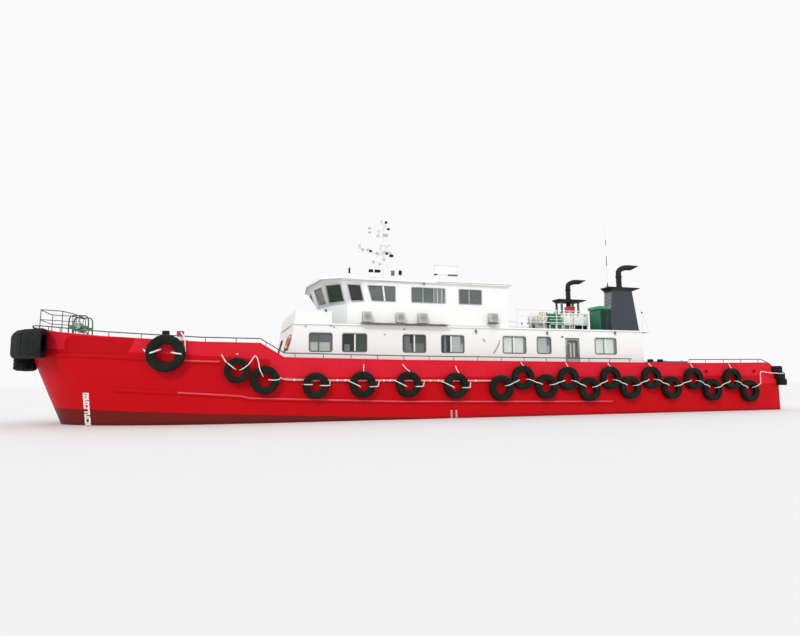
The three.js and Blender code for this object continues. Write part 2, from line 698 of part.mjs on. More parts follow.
// Moves each corner of a closed outline in by the wall's thickness
function insetOutline(outline, depth) {
  const count = outline.length;
  const turn = Math.sign(outline.reduce((area, [x, y], i) => {
    const [nx, ny] = outline[(i + 1) % count];
    return area + x * ny - nx * y;
  }, 0));
  return outline.map(([x, y], i) => {
    const [bx, by] = outline[(i + count - 1) % count];
    const [ax, ay] = outline[(i + 1) % count];
    const before = new THREE.Vector2(x - bx, y - by).normalize();
    const after = new THREE.Vector2(ax - x, ay - y).normalize();
    const normalBefore = new THREE.Vector2(-before.y, before.x).multiplyScalar(turn);
    const normalAfter = new THREE.Vector2(-after.y, after.x).multiplyScalar(turn);
    const middle = normalBefore.clone().add(normalAfter);
    const reach = depth / (1 + normalBefore.dot(normalAfter));
    return [x + middle.x * reach, y + middle.y * reach];
  });
}

function upperShell(inset, z0, z1) {
  const foot = insetOutline(fullOutline(upperFootOutline), inset);
  const roof = insetOutline(fullOutline(upperRoofOutline), inset);
  const rings = [[foot, z0], [foot, rakeStartZ], [roof, z1]].map(([outline, z]) =>
    outline.map(([x, y]) => [x, y, z]));
  return loft(rings, THREE.ShapeUtils.triangulateShape(foot.map(([x, y]) => new THREE.Vector2(x, y)), []));
}

const upperWindowZ = [5430, 6170];
// Raked front panes on the port side: outline corner where the facet starts, share of the facet covered
const frontPanes = [[0, 0.25, 0.83], [1, 0.05, 0.89], [2, 0.22, 0.80]];

function facetPoint(corner, share, z) {
  const rise = (z - rakeStartZ) / (roofZ - rakeStartZ);
  const at = (i) => upperFootOutline[i].map((value, k) => value + rise * (upperRoofOutline[i][k] - value));
  const [start, end] = [at(corner), at(corner + 1)];
  return new THREE.Vector3(start[0] + share * (end[0] - start[0]), start[1] + share * (end[1] - start[1]), z);
}

function frontPaneCut([corner, from, to], side) {
  const [low, high] = upperWindowZ;
  const outline = [[from, low], [to, low], [to, high], [from, high]].map(([share, z]) =>
    facetPoint(corner, share, z));
  const across = outline[1].clone().sub(outline[0]);
  const rise = outline[3].clone().sub(outline[0]);
  const normal = across.cross(rise).normalize();
  const rings = [-220, 220].map((push) => outline.map((p) => {
    const moved = p.clone().addScaledVector(normal, push);
    return [moved.x, side * moved.y, moved.z];
  }));
  return loft(rings);
}

const sidePanes = [
  [[4620, upperWindowZ[0]], [4830, upperWindowZ[1]], [3460, upperWindowZ[1]], [3460, upperWindowZ[0]]],
  [[2670, upperWindowZ[0]], [2670, upperWindowZ[1]], [930, upperWindowZ[1]], [930, upperWindowZ[0]]],
  [[220, upperWindowZ[0]], [220, upperWindowZ[1]], [-1010, upperWindowZ[1]], [-1010, upperWindowZ[0]]],
];
const upperHouseWalls = join([
  cut(upperShell(0, boatDeckZ, roofZ).subtract(upperShell(houseWall, boatDeckZ - 10, roofZ + 10)), [
    ...[-1, 1].flatMap((side) => frontPanes.map((pane) => frontPaneCut(pane, side))),
    ...sidePanes.map((pane) => prismXZ(pane, -4000, 4000)),
    doorOpening(upperDoor),
    ...[-1, 1].map((side) => box(upperAftX - 500, upperAftX + 500, side * 1700 - 500, side * 1700 + 500,
      upperWindowZ[0], upperWindowZ[1])),
  ]),
  hingeLugs(upperDoor),
]);
const wheelhouseRoof = prismXY(insetOutline(fullOutline(upperRoofOutline), -130), roofZ, roofZ + roofPlate);

const parapetTopZ = 4900;
const parapetWall = 60;
const parapetAftX = 6500;
const parapetFrontX = [8180, 8120];   // at the foot and at the top
function parapetBlock(inset, spare) {
  return prismXZ([[parapetAftX - spare, boatDeckZ - spare], [parapetFrontX[0] - inset, boatDeckZ - spare],
    [parapetFrontX[1] - inset, parapetTopZ + spare], [parapetAftX - spare, parapetTopZ + spare]],
  -houseHalf + inset, houseHalf - inset);
}
const frontParapet = parapetBlock(0, 0).subtract(parapetBlock(parapetWall, 10));

const helmConsole = join([
  box(5000, 5600, -1100, 1100, boatDeckZ + seat, boatDeckZ + 950),
  prismXZ([[5000, boatDeckZ + 900], [5600, boatDeckZ + 900], [5600, boatDeckZ + 1150],
    [5250, boatDeckZ + 1180]], -1100, 1100),
]);

// Cooling units on a shelf along the wall of the upper house
const unitEdges = [[5110, 4700], [3490, 3100], [2400, 1960]];
const aftUnit = [-1290, -1740];
const shelfZ = [boatDeckZ + 20, boatDeckZ + 65];
const coolingUnitsPort = join([
  box(900, 5180, 2830, 3120, ...shelfZ),
  box(900, 4740, houseHalf + seat, 2840, ...shelfZ),
  ...unitEdges.map(([forward, aft]) => box(aft, forward, 2840, 3110, shelfZ[1] - 5, 4900)),
  box(aftUnit[1], aftUnit[0], 2840, 3110, 4520, 5000),
  box(aftUnit[1] - 30, aftUnit[0] + 30, houseHalf + seat, 3120, 4480, 4525),
  rod([[920, 2850, shelfZ[1] - 15], [-1000, 2850, shelfZ[1] - 15], [-1350, 2850, 4500]], 20, 6),
]);

// Funnels: slate casings with a louvred front, an overhanging cap and one exhaust pipe each

const funnelY = [2070, 2780];
const funnelFoot = [-10340, -8590];
const funnelTop = [-9985, -8700];
const funnelTopZ = 6500;
const funnelLowTopZ = 5600;
const capX = [-10460, -8500];
const capZ = [6500, 6680];
const capOverhang = 25;

const casingEdgeAt = (z) => {
  const share = (z - boatDeckZ) / (funnelTopZ - boatDeckZ);
  return [0, 1].map((i) => funnelFoot[i] + share * (funnelTop[i] - funnelFoot[i]));
};

function funnelCasing(topZ) {
  const [aft, forward] = casingEdgeAt(topZ);
  return prismXZ([[funnelFoot[0], boatDeckZ + seat], [funnelFoot[1], boatDeckZ + seat], [forward, topZ],
    [aft, topZ]], ...funnelY);
}

const funnelPort = funnelCasing(funnelTopZ);
const legSize = 110;
const funnelStarboard = join([
  funnelCasing(funnelLowTopZ),
  ...[0, 1].flatMap((end) => [0, 1].map((flank) => {
    const x = casingEdgeAt(funnelTopZ)[end] + (end === 0 ? 60 : -60 - legSize);
    const y = flank === 0 ? funnelY[0] + 10 : funnelY[1] - 10 - legSize;
    return box(x, x + legSize, y, y + legSize, funnelLowTopZ - 50, funnelTopZ);
  })),
]);

const pipeX = -9430;
const pipeRadius = 145;
const pipeBend = [[pipeX, 7500], [pipeX - 130, 7720], [pipeX - 380, 7820], [pipeX - 1280, 7870]];
// The outlet is cut off at a slant, so that it opens downwards
const outletSlant = [[pipeX - 650, 7640], [pipeX - 1340, 8000], [pipeX - 1500, 8000], [pipeX - 1500, 7640]];

function exhaust(pipeFootZ) {
  const y = (funnelY[0] + funnelY[1]) / 2;
  const cap = prismXZ([
    [capX[0], capZ[1] - 50], [capX[0] + 400, capZ[0] + seat], [capX[1] - 200, capZ[0] + seat],
    [capX[1], capZ[1] - 50], [capX[1], capZ[1]], [capX[0], capZ[1]],
  ], funnelY[0] - capOverhang, funnelY[1] + capOverhang);
  const pipe = rod([[pipeX, y, pipeFootZ], ...pipeBend.map(([x, z]) => [x, y, z])], pipeRadius, 12)
    .subtract(prismXZ(outletSlant, -4000, 4000));
  return join([cap, pipe]);
}

// Whip aerial: x, z and radius from its foot on the cap to its tip
const aerial = [[-8680, capZ[1] - 20, 20], [-8690, 9500, 13], [-8700, 12500, 6]];
const aerialY = 2425;
const exhaustPort = join([
  exhaust(capZ[0] + 10),
  loft(aerial.map(([x, z, radius]) => roundSection(radius, 6).map(([s, u]) => [x + s, aerialY + u, z]))),
]);
const exhaustStarboard = mirrored(exhaust(funnelLowTopZ + seat));

// Mast and what it carries
const mastX = 3330;
const mast = join([
  roundBar(85, 3400, 'z', mastX, 0, roofZ + roofPlate + seat + 1700, 10, 55),
  rod([[mastX - 900, 0, roofZ + roofPlate + 20], [mastX - 10, 0, 8350]], 45, 8),
  box(mastX - 250, mastX + 250, -250, 250, roofZ + roofPlate + seat, roofZ + roofPlate + 40),
  box(mastX - 1000, mastX - 800, -90, 90, roofZ + roofPlate + seat, roofZ + roofPlate + 40),
  box(2750, 4560, -45, 45, 8330, 8420),
  box(mastX - 45, mastX + 45, -900, 900, 8340, 8410),
  box(mastX - 40, mastX + 40, -620, 620, 9520, 9580),
  box(2870, 3380, -190, 190, 8415, 8880),
  ...[[4520, 0, 8415, 8870], [mastX, -850, 8400, 8620], [mastX, 850, 8400, 8620], [mastX, -590, 9570, 9760],
    [mastX, 590, 9570, 9760], [mastX, 0, 9880, 10250]].map(([x, y, z0, z1]) =>
    roundBar(65, z1 - z0, 'z', x, y, (z0 + z1) / 2, 6)),
  box(mastX - 60, mastX + 60, -60, 60, 10110, 10210),
]);

const scannerX = 4030;
const scannerY = 900;
const scannerPedestalTop = 7110;
const radarPedestal = join([
  roundBar(60, 600, 'z', scannerX, scannerY, roofZ + roofPlate + seat + 300, 10),
  box(scannerX - 170, scannerX + 170, scannerY - 150, scannerY + 150, 6880, scannerPedestalTop),
  box(scannerX - 150, scannerX + 150, scannerY - 150, scannerY + 150, roofZ + roofPlate + seat,
    roofZ + roofPlate + 30),
]);
const radarScanner = join([
  roundBar(60, 60, 'z', scannerX, scannerY, scannerPedestalTop + seat + 30, 10),
  box(scannerX - 360, scannerX + 360, scannerY - 70, scannerY + 70, scannerPedestalTop + 45,
    scannerPedestalTop + 195),
]);

const nameBoard = join([
  box(-930, 400, -30, 30, 7390, 7890),
  ...[-780, 250].map((x) => box(x - 40, x + 40, -25, 25, roofZ + roofPlate + seat, 7450)),
]);

// Deck gear on the boat deck

const raftX = -4820;
const raftZ = 4963;
const raftRadius = 375;
const raftLength = 1000;
const lifeRaft = join([
  roundBar(raftRadius, raftLength, 'y', raftX, 1600, raftZ, 20),
  ...[1300, 1900].map((y) => prismXZ([[raftX - 380, boatDeckZ + seat], [raftX + 380, boatDeckZ + seat],
    [raftX + 300, raftZ - 120], [raftX - 300, raftZ - 120]], y - 40, y + 40)),
]);

const deckMachine = join([
  box(-6130, -5350, 900, 1900, 4600, 5200),
  box(-6170, -5310, 860, 1940, boatDeckZ + seat, 4620),
  box(-6000, -5480, 1150, 1650, 5190, 5390),
]);

const deckBoxes = join([
  box(-6800, -6240, 900, 1900, 4560, 5300),
  box(-7760, -6880, 800, 1900, 4560, 5290),
  box(-7780, -6260, 850, 1850, boatDeckZ + seat, 4580),
]);
const lockerRed = join([
  box(-8080, -7690, -240, 240, 5560, 5900),
  ...[-1, 1].map((side) => box(-7890, -7800, side * 200 - 40, side * 200 + 40, boatDeckZ + seat, 5580)),
]);
const ventLocker = join([
  box(-8560, -7920, 1790, 2760, boatDeckZ + seat, 5450),
  box(-8570, -7850, 1730, 2790, 5450 - 1, 5620),
]);

// White guard rail along the side of the boat deck
const guardX = [-6750, -2950];
const guardY = 2790;
const guardTopZ = 5280;
const guardPosts = 6;
const guardBarHalf = 16;
const guardPostHalf = 22;
const guardRailPort = join([
  ...[4650, 4960, guardTopZ].map((z) =>
    box(...guardX, guardY - guardBarHalf, guardY + guardBarHalf, z - guardBarHalf, z + guardBarHalf)),
  ...Array.from({ length: guardPosts }, (_, i) => {
    const x = guardX[0] + (guardX[1] - guardX[0]) * (i / (guardPosts - 1));
    return box(x - guardPostHalf, x + guardPostHalf, guardY - guardPostHalf, guardY + guardPostHalf,
      boatDeckZ + seat, guardTopZ + guardPostHalf);
  }),
]);

// Life ring against the raked front of the house
const ringY = 2250;
const ringZ = 3480;
const ringRadius = 300;
const ringBar = 62;
const ringSides = 6;
const ringStandOff = ringBar * Math.cos(Math.PI / ringSides) / Math.cos(frontRake) + 3 * seat;
const ringWallX = frontLow[0] - (ringZ - frontLow[1]) * Math.tan(frontRake);
const ringGeometry = new THREE.TorusGeometry(ringRadius, ringBar, ringSides, 14);
ringGeometry.rotateY(Math.PI / 2);
ringGeometry.rotateY(-frontRake);
ringGeometry.translate(ringWallX + ringStandOff, ringY, ringZ);
const lifeRing = solidOf(ringGeometry);

// Propellers, shaft brackets and rudders

const shaftZ = -1150;
const propellerX = -16450;
const propellerRadius = 680;
const hubRadius = 130;
const hubHalf = 170;

function blade(turn) {
  const stations = [
    [60, 62, 260, 52], [300, 50, 470, 34], [520, 34, 470, 22], [propellerRadius, 26, 190, 12]];
  const rings = stations.map(([radius, pitch, chord, thick]) => {
    const angle = THREE.MathUtils.degToRad(pitch);
    return [[-0.5, 0], [-0.2, 0.5], [0.2, 0.5], [0.5, 0], [0.2, -0.5], [-0.2, -0.5]].map(([c, t]) => {
      const along = c * chord * Math.sin(angle) + t * thick * Math.cos(angle);
      const across = c * chord * Math.cos(angle) - t * thick * Math.sin(angle);
      const local = new THREE.Vector3(along, across, radius);
      local.applyAxisAngle(new THREE.Vector3(1, 0, 0), turn);
      return [propellerX + local.x, shaftY + local.y, shaftZ + local.z];
    });
  });
  return loft(rings);
}

const propellerPort = join([
  roundBar(hubRadius, 2 * hubHalf, 'x', propellerX, shaftY, shaftZ, 12),
  roundBar(40, 160, 'x', propellerX - hubHalf - 70, shaftY, shaftZ, 12, hubRadius),
  ...[0, 1, 2, 3].map((quarter) => blade(quarter * Math.PI / 2 + 0.4)),
]);

const bracketPort = join([
  roundBar(110, 420, 'x', propellerX + hubHalf + seat + 210, shaftY, shaftZ, 12),
  roundBar(55, 3500, 'x', propellerX + hubHalf + 100 + 1750, shaftY, shaftZ, 10),
  prismXZ([[-16000, -1150], [-15950, -300], [-15750, -300], [-15850, -1150]], shaftY - 35, shaftY + 35),
]).subtract(hullBody(keelZ, mainDeckZ, seat));

const rudderPort = join([
  prismXY([[330, 0], [180, 70], [-200, 60], [-820, 12], [-820, -12], [-200, -60], [180, -70]]
    .map(([x, y]) => [rudderX + x, shaftY + y]), -1830, -520),
  roundBar(60, rudderBossZ - seat + 1200, 'z', rudderX, shaftY, (rudderBossZ - seat - 1200) / 2, 12),
]);

// Assembly: one named mesh for each sub-part

const coats = {
  hullRed: [0xb8161a, 0.35, 0.0],
  bulwarkRed: [0xcf1f26, 0.35, 0.0],
  rubber: [0x1b1c1a, 0.85, 0.0],
  tyre: [0x26281f, 0.9, 0.0],
  houseWhite: [0xe9ebe8, 0.45, 0.0],
  railDark: [0x39423f, 0.5, 0.2],
  green: [0x1d6b4c, 0.45, 0.0],
  slate: [0x454c55, 0.55, 0.0],
  black: [0x17181a, 0.5, 0.0],
  cream: [0xe6d9b2, 0.5, 0.0],
  orange: [0xd8481c, 0.6, 0.0],
  grey: [0x5d6468, 0.6, 0.1],
  deckGreen: [0x2f4f3f, 0.8, 0.0],
  bronze: [0x9a7a3a, 0.35, 0.9],
  steel: [0x6d7175, 0.4, 0.8],
};

const boat = new THREE.Group();

function add(name, solid, coat) {
  const [color, roughness, metalness] = coats[coat];
  const material = new THREE.MeshStandardMaterial({ color, roughness, metalness });
  const mesh = new THREE.Mesh(geometryOf(solid), material);
  mesh.name = name;
  boat.add(mesh);
}

function addPair(name, portSolid, coat) {
  add(`${name}_port`, portSolid, coat);
  add(`${name}_starboard`, mirrored(portSolid), coat);
}

add('hull', hull, 'hullRed');
add('forecastle', forecastle, 'hullRed');
add('bulwark_bow', bulwarkBow, 'bulwarkRed');
addPair('bulwark', bulwarkPort, 'bulwarkRed');
add('bulwark_stern', bulwarkStern, 'bulwarkRed');
add('bow_fender', bowFender, 'rubber');
addPair('stern_fender', sternFenderPort, 'rubber');
add('bow_tyre_port', bowTyrePort, 'tyre');
add('bow_tyre_starboard', bowTyreStarboard, 'tyre');
addPair('side_tyres', tyresPort, 'tyre');
addPair('bulwark_rail', railPort, 'railDark');
add('bow_rail', railBow, 'railDark');
add('bow_pulpit', bowPulpit, 'railDark');
add('windlass_frame', windlassFrame, 'green');
add('windlass_drum', windlassDrum, 'green');
addPair('bitts_forward', bittsForward, 'black');
addPair('bitts_aft', bittsAft, 'black');
add('hatch_coaming', hatchCoaming, 'hullRed');
add('hatch_lid', hatchLid, 'railDark');
add('deckhouse_walls', deckhouseWalls, 'houseWhite');
add('boat_deck', boatDeck, 'deckGreen');
add('upper_house_walls', upperHouseWalls, 'houseWhite');
add('wheelhouse_roof', wheelhouseRoof, 'houseWhite');
add('front_parapet', frontParapet, 'houseWhite');
add('helm_console', helmConsole, 'grey');
add('side_door_port', doorSolid(sideDoor), 'houseWhite');
add('side_door_starboard', doorSolid(starboardDoor), 'houseWhite');
add('aft_door', doorSolid(aftDoor), 'houseWhite');
add('upper_door', doorSolid(upperDoor), 'houseWhite');
addPair('cooling_units', coolingUnitsPort, 'grey');
add('funnel_port', funnelPort, 'slate');
add('funnel_starboard', mirrored(funnelStarboard), 'slate');
add('exhaust_port', exhaustPort, 'black');
add('exhaust_starboard', exhaustStarboard, 'black');
add('mast', mast, 'houseWhite');
add('radar_pedestal', radarPedestal, 'houseWhite');
add('radar_scanner', radarScanner, 'black');
add('name_board', nameBoard, 'houseWhite');
add('life_raft', lifeRaft, 'cream');
add('deck_machine', deckMachine, 'green');
add('deck_boxes', deckBoxes, 'houseWhite');
add('red_locker', lockerRed, 'hullRed');
add('vent_locker', ventLocker, 'green');
addPair('guard_rail', guardRailPort, 'houseWhite');
add('life_ring_port', lifeRing, 'orange');
addPair('propeller', propellerPort, 'bronze');
addPair('shaft_bracket', bracketPort, 'steel');
addPair('rudder', rudderPort, 'steel');

export default boat;
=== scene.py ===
# A long low steel tugboat afloat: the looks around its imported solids.
# Metres, +X towards the bow, +Y to port, +Z up, the water at z = 0.
import math
import random

import bmesh
import bpy
from mathutils import Matrix, Vector


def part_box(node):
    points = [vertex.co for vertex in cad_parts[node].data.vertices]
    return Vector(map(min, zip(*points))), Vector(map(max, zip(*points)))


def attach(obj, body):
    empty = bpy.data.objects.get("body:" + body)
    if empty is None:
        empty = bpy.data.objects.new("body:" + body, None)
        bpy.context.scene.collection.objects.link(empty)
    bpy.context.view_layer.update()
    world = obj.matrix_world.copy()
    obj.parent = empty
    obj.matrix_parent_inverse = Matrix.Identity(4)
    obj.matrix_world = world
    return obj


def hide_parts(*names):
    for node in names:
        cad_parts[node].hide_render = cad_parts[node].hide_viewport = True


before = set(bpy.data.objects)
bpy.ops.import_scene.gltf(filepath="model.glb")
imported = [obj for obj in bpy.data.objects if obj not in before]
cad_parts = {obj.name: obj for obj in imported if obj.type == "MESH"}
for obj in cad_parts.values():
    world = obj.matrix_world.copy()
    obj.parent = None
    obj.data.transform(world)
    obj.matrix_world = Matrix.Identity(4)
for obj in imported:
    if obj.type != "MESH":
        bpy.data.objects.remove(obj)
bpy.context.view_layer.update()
random.seed(11)
print("frame loaded:", len(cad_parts), "nodes")


# Shapes

def between(low, high, share):
    return low + (high - low) * share


def tableAt(table, x):
    if x <= table[0][0]:
        return table[0][1:]
    for low, high in zip(table, table[1:]):
        if x <= high[0]:
            share = (x - low[0]) / (high[0] - low[0])
            return tuple(between(a, b, share) for a, b in zip(low[1:], high[1:]))
    return table[-1][1:]


def turned(origin, axis=(0, 0, 1), spin=0.0):
    # Brings a shape made along +Z to a place and an axis
    lean = Vector((0, 0, 1)).rotation_difference(Vector(axis)).to_matrix().to_4x4()
    return Matrix.Translation(origin) @ lean @ Matrix.Rotation(spin, 4, "Z")


def athwart(origin):
    return turned(origin, (0, 1, 0))


def rectangle(x0, x1, y0, y1):
    return [(x0, y0), (x1, y0), (x1, y1), (x0, y1)]


def upright(x, y):
    return Matrix.Translation((x, y, 0))


def about(middle, half):
    return middle - half, middle + half


def around(count, radius=1.0):
    angles = [2 * math.pi * i / count for i in range(count)]
    return [(radius * math.cos(a), radius * math.sin(a)) for a in angles]


def arcOf(radius, low, high, steps):
    # Points from one angle to another, the angles in half turns
    angles = [math.pi * between(low, high, i / steps) for i in range(steps + 1)]
    return [(radius * math.cos(a), radius * math.sin(a)) for a in angles]


def addRings(bm, rings, mat=0, capped=True, looped=True, wrapped=False, move=None):
    rows = [[bm.verts.new(move @ Vector(p) if move else p) for p in ring] for ring in rings]
    count = len(rows[0])
    pairs = list(zip(rows, rows[1:])) + ([(rows[-1], rows[0])] if wrapped else [])
    faces = []
    for low, high in pairs:
        for i in range(count if looped else count - 1):
            j = (i + 1) % count
            faces.append(bm.faces.new((low[i], low[j], high[j], high[i])))
    if capped and not wrapped:
        faces.append(bm.faces.new(rows[0][::-1]))
        faces.append(bm.faces.new(rows[-1]))
    for face in faces:
        face.material_index = mat


def roundedLoop(x0, x1, y0, y1, radius, steps=2):
    corners = rectangle(x1 - radius, x0 + radius, y1 - radius, y0 + radius)
    loop = []
    for turn, (cx, cy) in enumerate(corners):
        for step in range(steps + 1):
            angle = (turn + step / steps) * math.pi / 2
            loop.append((cx + radius * math.cos(angle), cy + radius * math.sin(angle)))
    return loop


def addBox(bm, xs, ys, zs, edge=0.01, mat=0, steps=2):
    # A box with rounded edges
    (x0, x1), (y0, y1), (z0, z1) = sorted(xs), sorted(ys), sorted(zs)
    edge = min(edge, 0.45 * min(x1 - x0, y1 - y0, z1 - z0))
    rings = []
    for top in (False, True):
        turns = range(steps + 1)
        for step in (reversed(turns) if top else turns):
            angle = step / steps * math.pi / 2
            inset = edge * (1 - math.sin(angle))
            rise = edge * (1 - math.cos(angle))
            z = z1 - rise if top else z0 + rise
            loop = roundedLoop(x0 + inset, x1 - inset, y0 + inset, y1 - inset, max(edge - inset, edge * 0.2),
                steps)
            rings.append([(x, y, z) for x, y in loop])
    addRings(bm, rings, mat)


def addLathe(bm, profile, segments=24, mat=0, move=None, wrapped=False):
    # Profile points are radius, height
    rings = [[(x, y, height) for x, y in around(segments, max(radius, 1e-4))] for radius, height in profile]
    addRings(bm, rings, mat, wrapped=wrapped, move=move)


def addDrum(bm, radius, low, high, edge=0.01, segments=20, mat=0, move=None):
    addLathe(bm, [(radius - edge, low), (radius, low + edge), (radius, high - edge), (radius - edge, high)],
        segments, mat, move)


def addTorus(bm, ringRadius, barRadius, move=None, segments=32, sides=10, mat=0):
    profile = [(ringRadius + a, b) for a, b in around(sides, barRadius)]
    addLathe(bm, profile, segments, mat, move, wrapped=True)


def addBall(bm, radius, at, stretched=1.0):
    addLathe(bm, [(b, -stretched * a) for a, b in arcOf(radius, 0, 1, 8)], 12, 0, Matrix.Translation(at))


def pathFrames(points, closed=False):
    # Side and up directions carried along a path with no twist
    count = len(points)
    tangents = []
    for i in range(count):
        before = points[(i - 1) % count] if closed else points[max(i - 1, 0)]
        after = points[(i + 1) % count] if closed else points[min(i + 1, count - 1)]
        tangents.append((after - before).normalized())
    hint = Vector((0, 0, 1)) if abs(tangents[0].z) < 0.9 else Vector((1, 0, 0))
    side = hint.cross(tangents[0]).normalized()
    frames = []
    for tangent in tangents:
        side = (side - tangent * side.dot(tangent)).normalized()
        frames.append((side.copy(), tangent.cross(side).normalized()))
    return frames


def addSweep(bm, path, section, mat=0, closed=False):
    # Section points are side, up; or a function of the point's number that gives them
    points = [Vector(p) for p in path]
    rings = []
    for i, (side, up) in enumerate(pathFrames(points, closed)):
        outline = section(i) if callable(section) else section
        rings.append([tuple(points[i] + side * s + up * u) for s, u in outline])
    addRings(bm, rings, mat, wrapped=closed)


def addTube(bm, path, radius, sides=10, mat=0, closed=False):
    addSweep(bm, path, around(sides, radius), mat, closed)


def smoothPath(points, step=0.08):
    # A Catmull-Rom curve through the points, cut at an even spacing
    knots = [Vector(p) for p in points]
    knots = [knots[0] * 2 - knots[1]] + knots + [knots[-1] * 2 - knots[-2]]
    path = []
    for a, b, c, d in zip(knots, knots[1:], knots[2:], knots[3:]):
        pieces = max(2, int((c - b).length / step))
        for i in range(pieces):
            t = i / pieces
            path.append(0.5 * (2 * b + (c - a) * t + (2 * a - 5 * b + 4 * c - d) * t * t
                + (3 * b - a - 3 * c + d) * t ** 3))
    path.append(knots[-2])
    return path


def addRope(bm, points, radius, mat=0):
    # Three strands laid together: the section has three lobes that turn along the rope
    step, lay = 0.06, 0.22

    def section(i):
        twist = i * step / lay * 2 * math.pi
        reaches = [radius * (1 + 0.16 * math.cos(k * 2 * math.pi / 3 - twist)) for k in range(9)]
        return [(a * reach, b * reach) for (a, b), reach in zip(around(9), reaches)]

    addSweep(bm, smoothPath(points, step), section, mat)


def addPlate(bm, outline, low, high, plane="xz", mat=0, edge=0.0):
    # A flat plate: the outline in one plane, its thickness across it
    order = {"xz": (0, 2, 1), "yz": (1, 2, 0)}[plane]
    middle = [sum(p[k] for p in outline) / len(outline) for k in (0, 1)]
    rings = []
    for depth, inset in ((low, edge), (low + edge, 0), (high - edge, 0), (high, edge)):
        ring = []
        for a, b in outline:
            away = Vector((a - middle[0], b - middle[1]))
            away = away * (1 - inset / max(away.length, 1e-6))
            point = [0, 0, 0]
            for axis, value in zip(order, (middle[0] + away.x, middle[1] + away.y, depth)):
                point[axis] = value
            ring.append(tuple(point))
        rings.append(ring)
    addRings(bm, rings if edge else [rings[0], rings[-1]], mat)


def flipShape(bm):
    # Turns a port shape into the starboard one
    for vertex in bm.verts:
        vertex.co.y = -vertex.co.y
    bmesh.ops.reverse_faces(bm, faces=bm.faces)


def mirrorInto(bm):
    # Adds the starboard half to what was built to port
    whole = bmesh.ops.duplicate(bm, geom=bm.verts[:] + bm.edges[:] + bm.faces[:])["geom"]
    for part in whole:
        if isinstance(part, bmesh.types.BMVert):
            part.co.y = -part.co.y


def makePiece(name, bm, materials, hides=(), body="boat", sharp=40):
    bmesh.ops.remove_doubles(bm, verts=bm.verts, dist=1e-5)
    bmesh.ops.recalc_face_normals(bm, faces=bm.faces)
    mesh = bpy.data.meshes.new(name)
    bm.to_mesh(mesh)
    bm.free()
    mesh.polygons.foreach_set("use_smooth", [True] * len(mesh.polygons))
    mesh.set_sharp_from_angle(angle=math.radians(sharp))
    piece = bpy.data.objects.new(name, mesh)
    bpy.context.collection.objects.link(piece)
    for material in materials:
        mesh.materials.append(finishes[material])
    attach(piece, body)
    if hides:
        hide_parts(*hides)
    return piece


def makePair(name, bm, materials, hides=None, sharp=40):
    other = bm.copy()
    flipShape(other)
    for side, shape in (("port", bm), ("starboard", other)):
        makePiece(f"{name}_{side}", shape, materials, (f"{hides}_{side}",) if hides else (),
            sharp=sharp)


# Effects shared by the materials

def fill(tree, node, inputs):
    for key, value in inputs.items():
        if isinstance(value, bpy.types.NodeSocket):
            tree.links.new(value, node.inputs[key])
        else:
            node.inputs[key].default_value = value
    return node


def addNode(tree, kind, inputs=None, **settings):
    node = tree.nodes.new(kind)
    for key, value in settings.items():
        setattr(node, key, value)
    return fill(tree, node, inputs or {})


def newGroup(name, inputs, outputs):
    group = bpy.data.node_groups.new(name, "ShaderNodeTree")
    for label, value in inputs.items():
        kind = "NodeSocketColor" if isinstance(value, tuple) else "NodeSocketFloat"
        group.interface.new_socket(label, in_out="INPUT", socket_type=kind).default_value = value
    for label in outputs:
        kind = "NodeSocketColor" if label == "Color" else "NodeSocketFloat"
        group.interface.new_socket(label, in_out="OUTPUT", socket_type=kind)
    return group, addNode(group, "NodeGroupInput").outputs, addNode(group, "NodeGroupOutput")


def place(tree):
    return addNode(tree, "ShaderNodeTexCoord").outputs["Object"]


def axesOf(tree):
    return addNode(tree, "ShaderNodeSeparateXYZ", {"Vector": place(tree)}).outputs


def stretch(tree, scale):
    return addNode(tree, "ShaderNodeMapping", {"Vector": place(tree), "Scale": scale}).outputs["Vector"]


def noise(tree, vector, scale, detail=4.0, roughness=0.55):
    return addNode(tree, "ShaderNodeTexNoise", {
        "Vector": vector, "Scale": scale, "Detail": detail, "Roughness": roughness}).outputs["Fac"]


def spread(tree, value, low, high, toLow=0.0, toHigh=1.0):
    return addNode(tree, "ShaderNodeMapRange", {
        "Value": value, "From Min": low, "From Max": high, "To Min": toLow,
            "To Max": toHigh}).outputs["Result"]


def sums(tree, operation, a, b):
    return addNode(tree, "ShaderNodeMath", {0: a, 1: b}, operation=operation).outputs["Value"]


def times(tree, a, b):
    return sums(tree, "MULTIPLY", a, b)


def blendColor(tree, share, a, b, mode="MIX"):
    return addNode(tree, "ShaderNodeMix", {0: share, 6: a, 7: b}, data_type="RGBA",
        blend_type=mode).outputs[2]


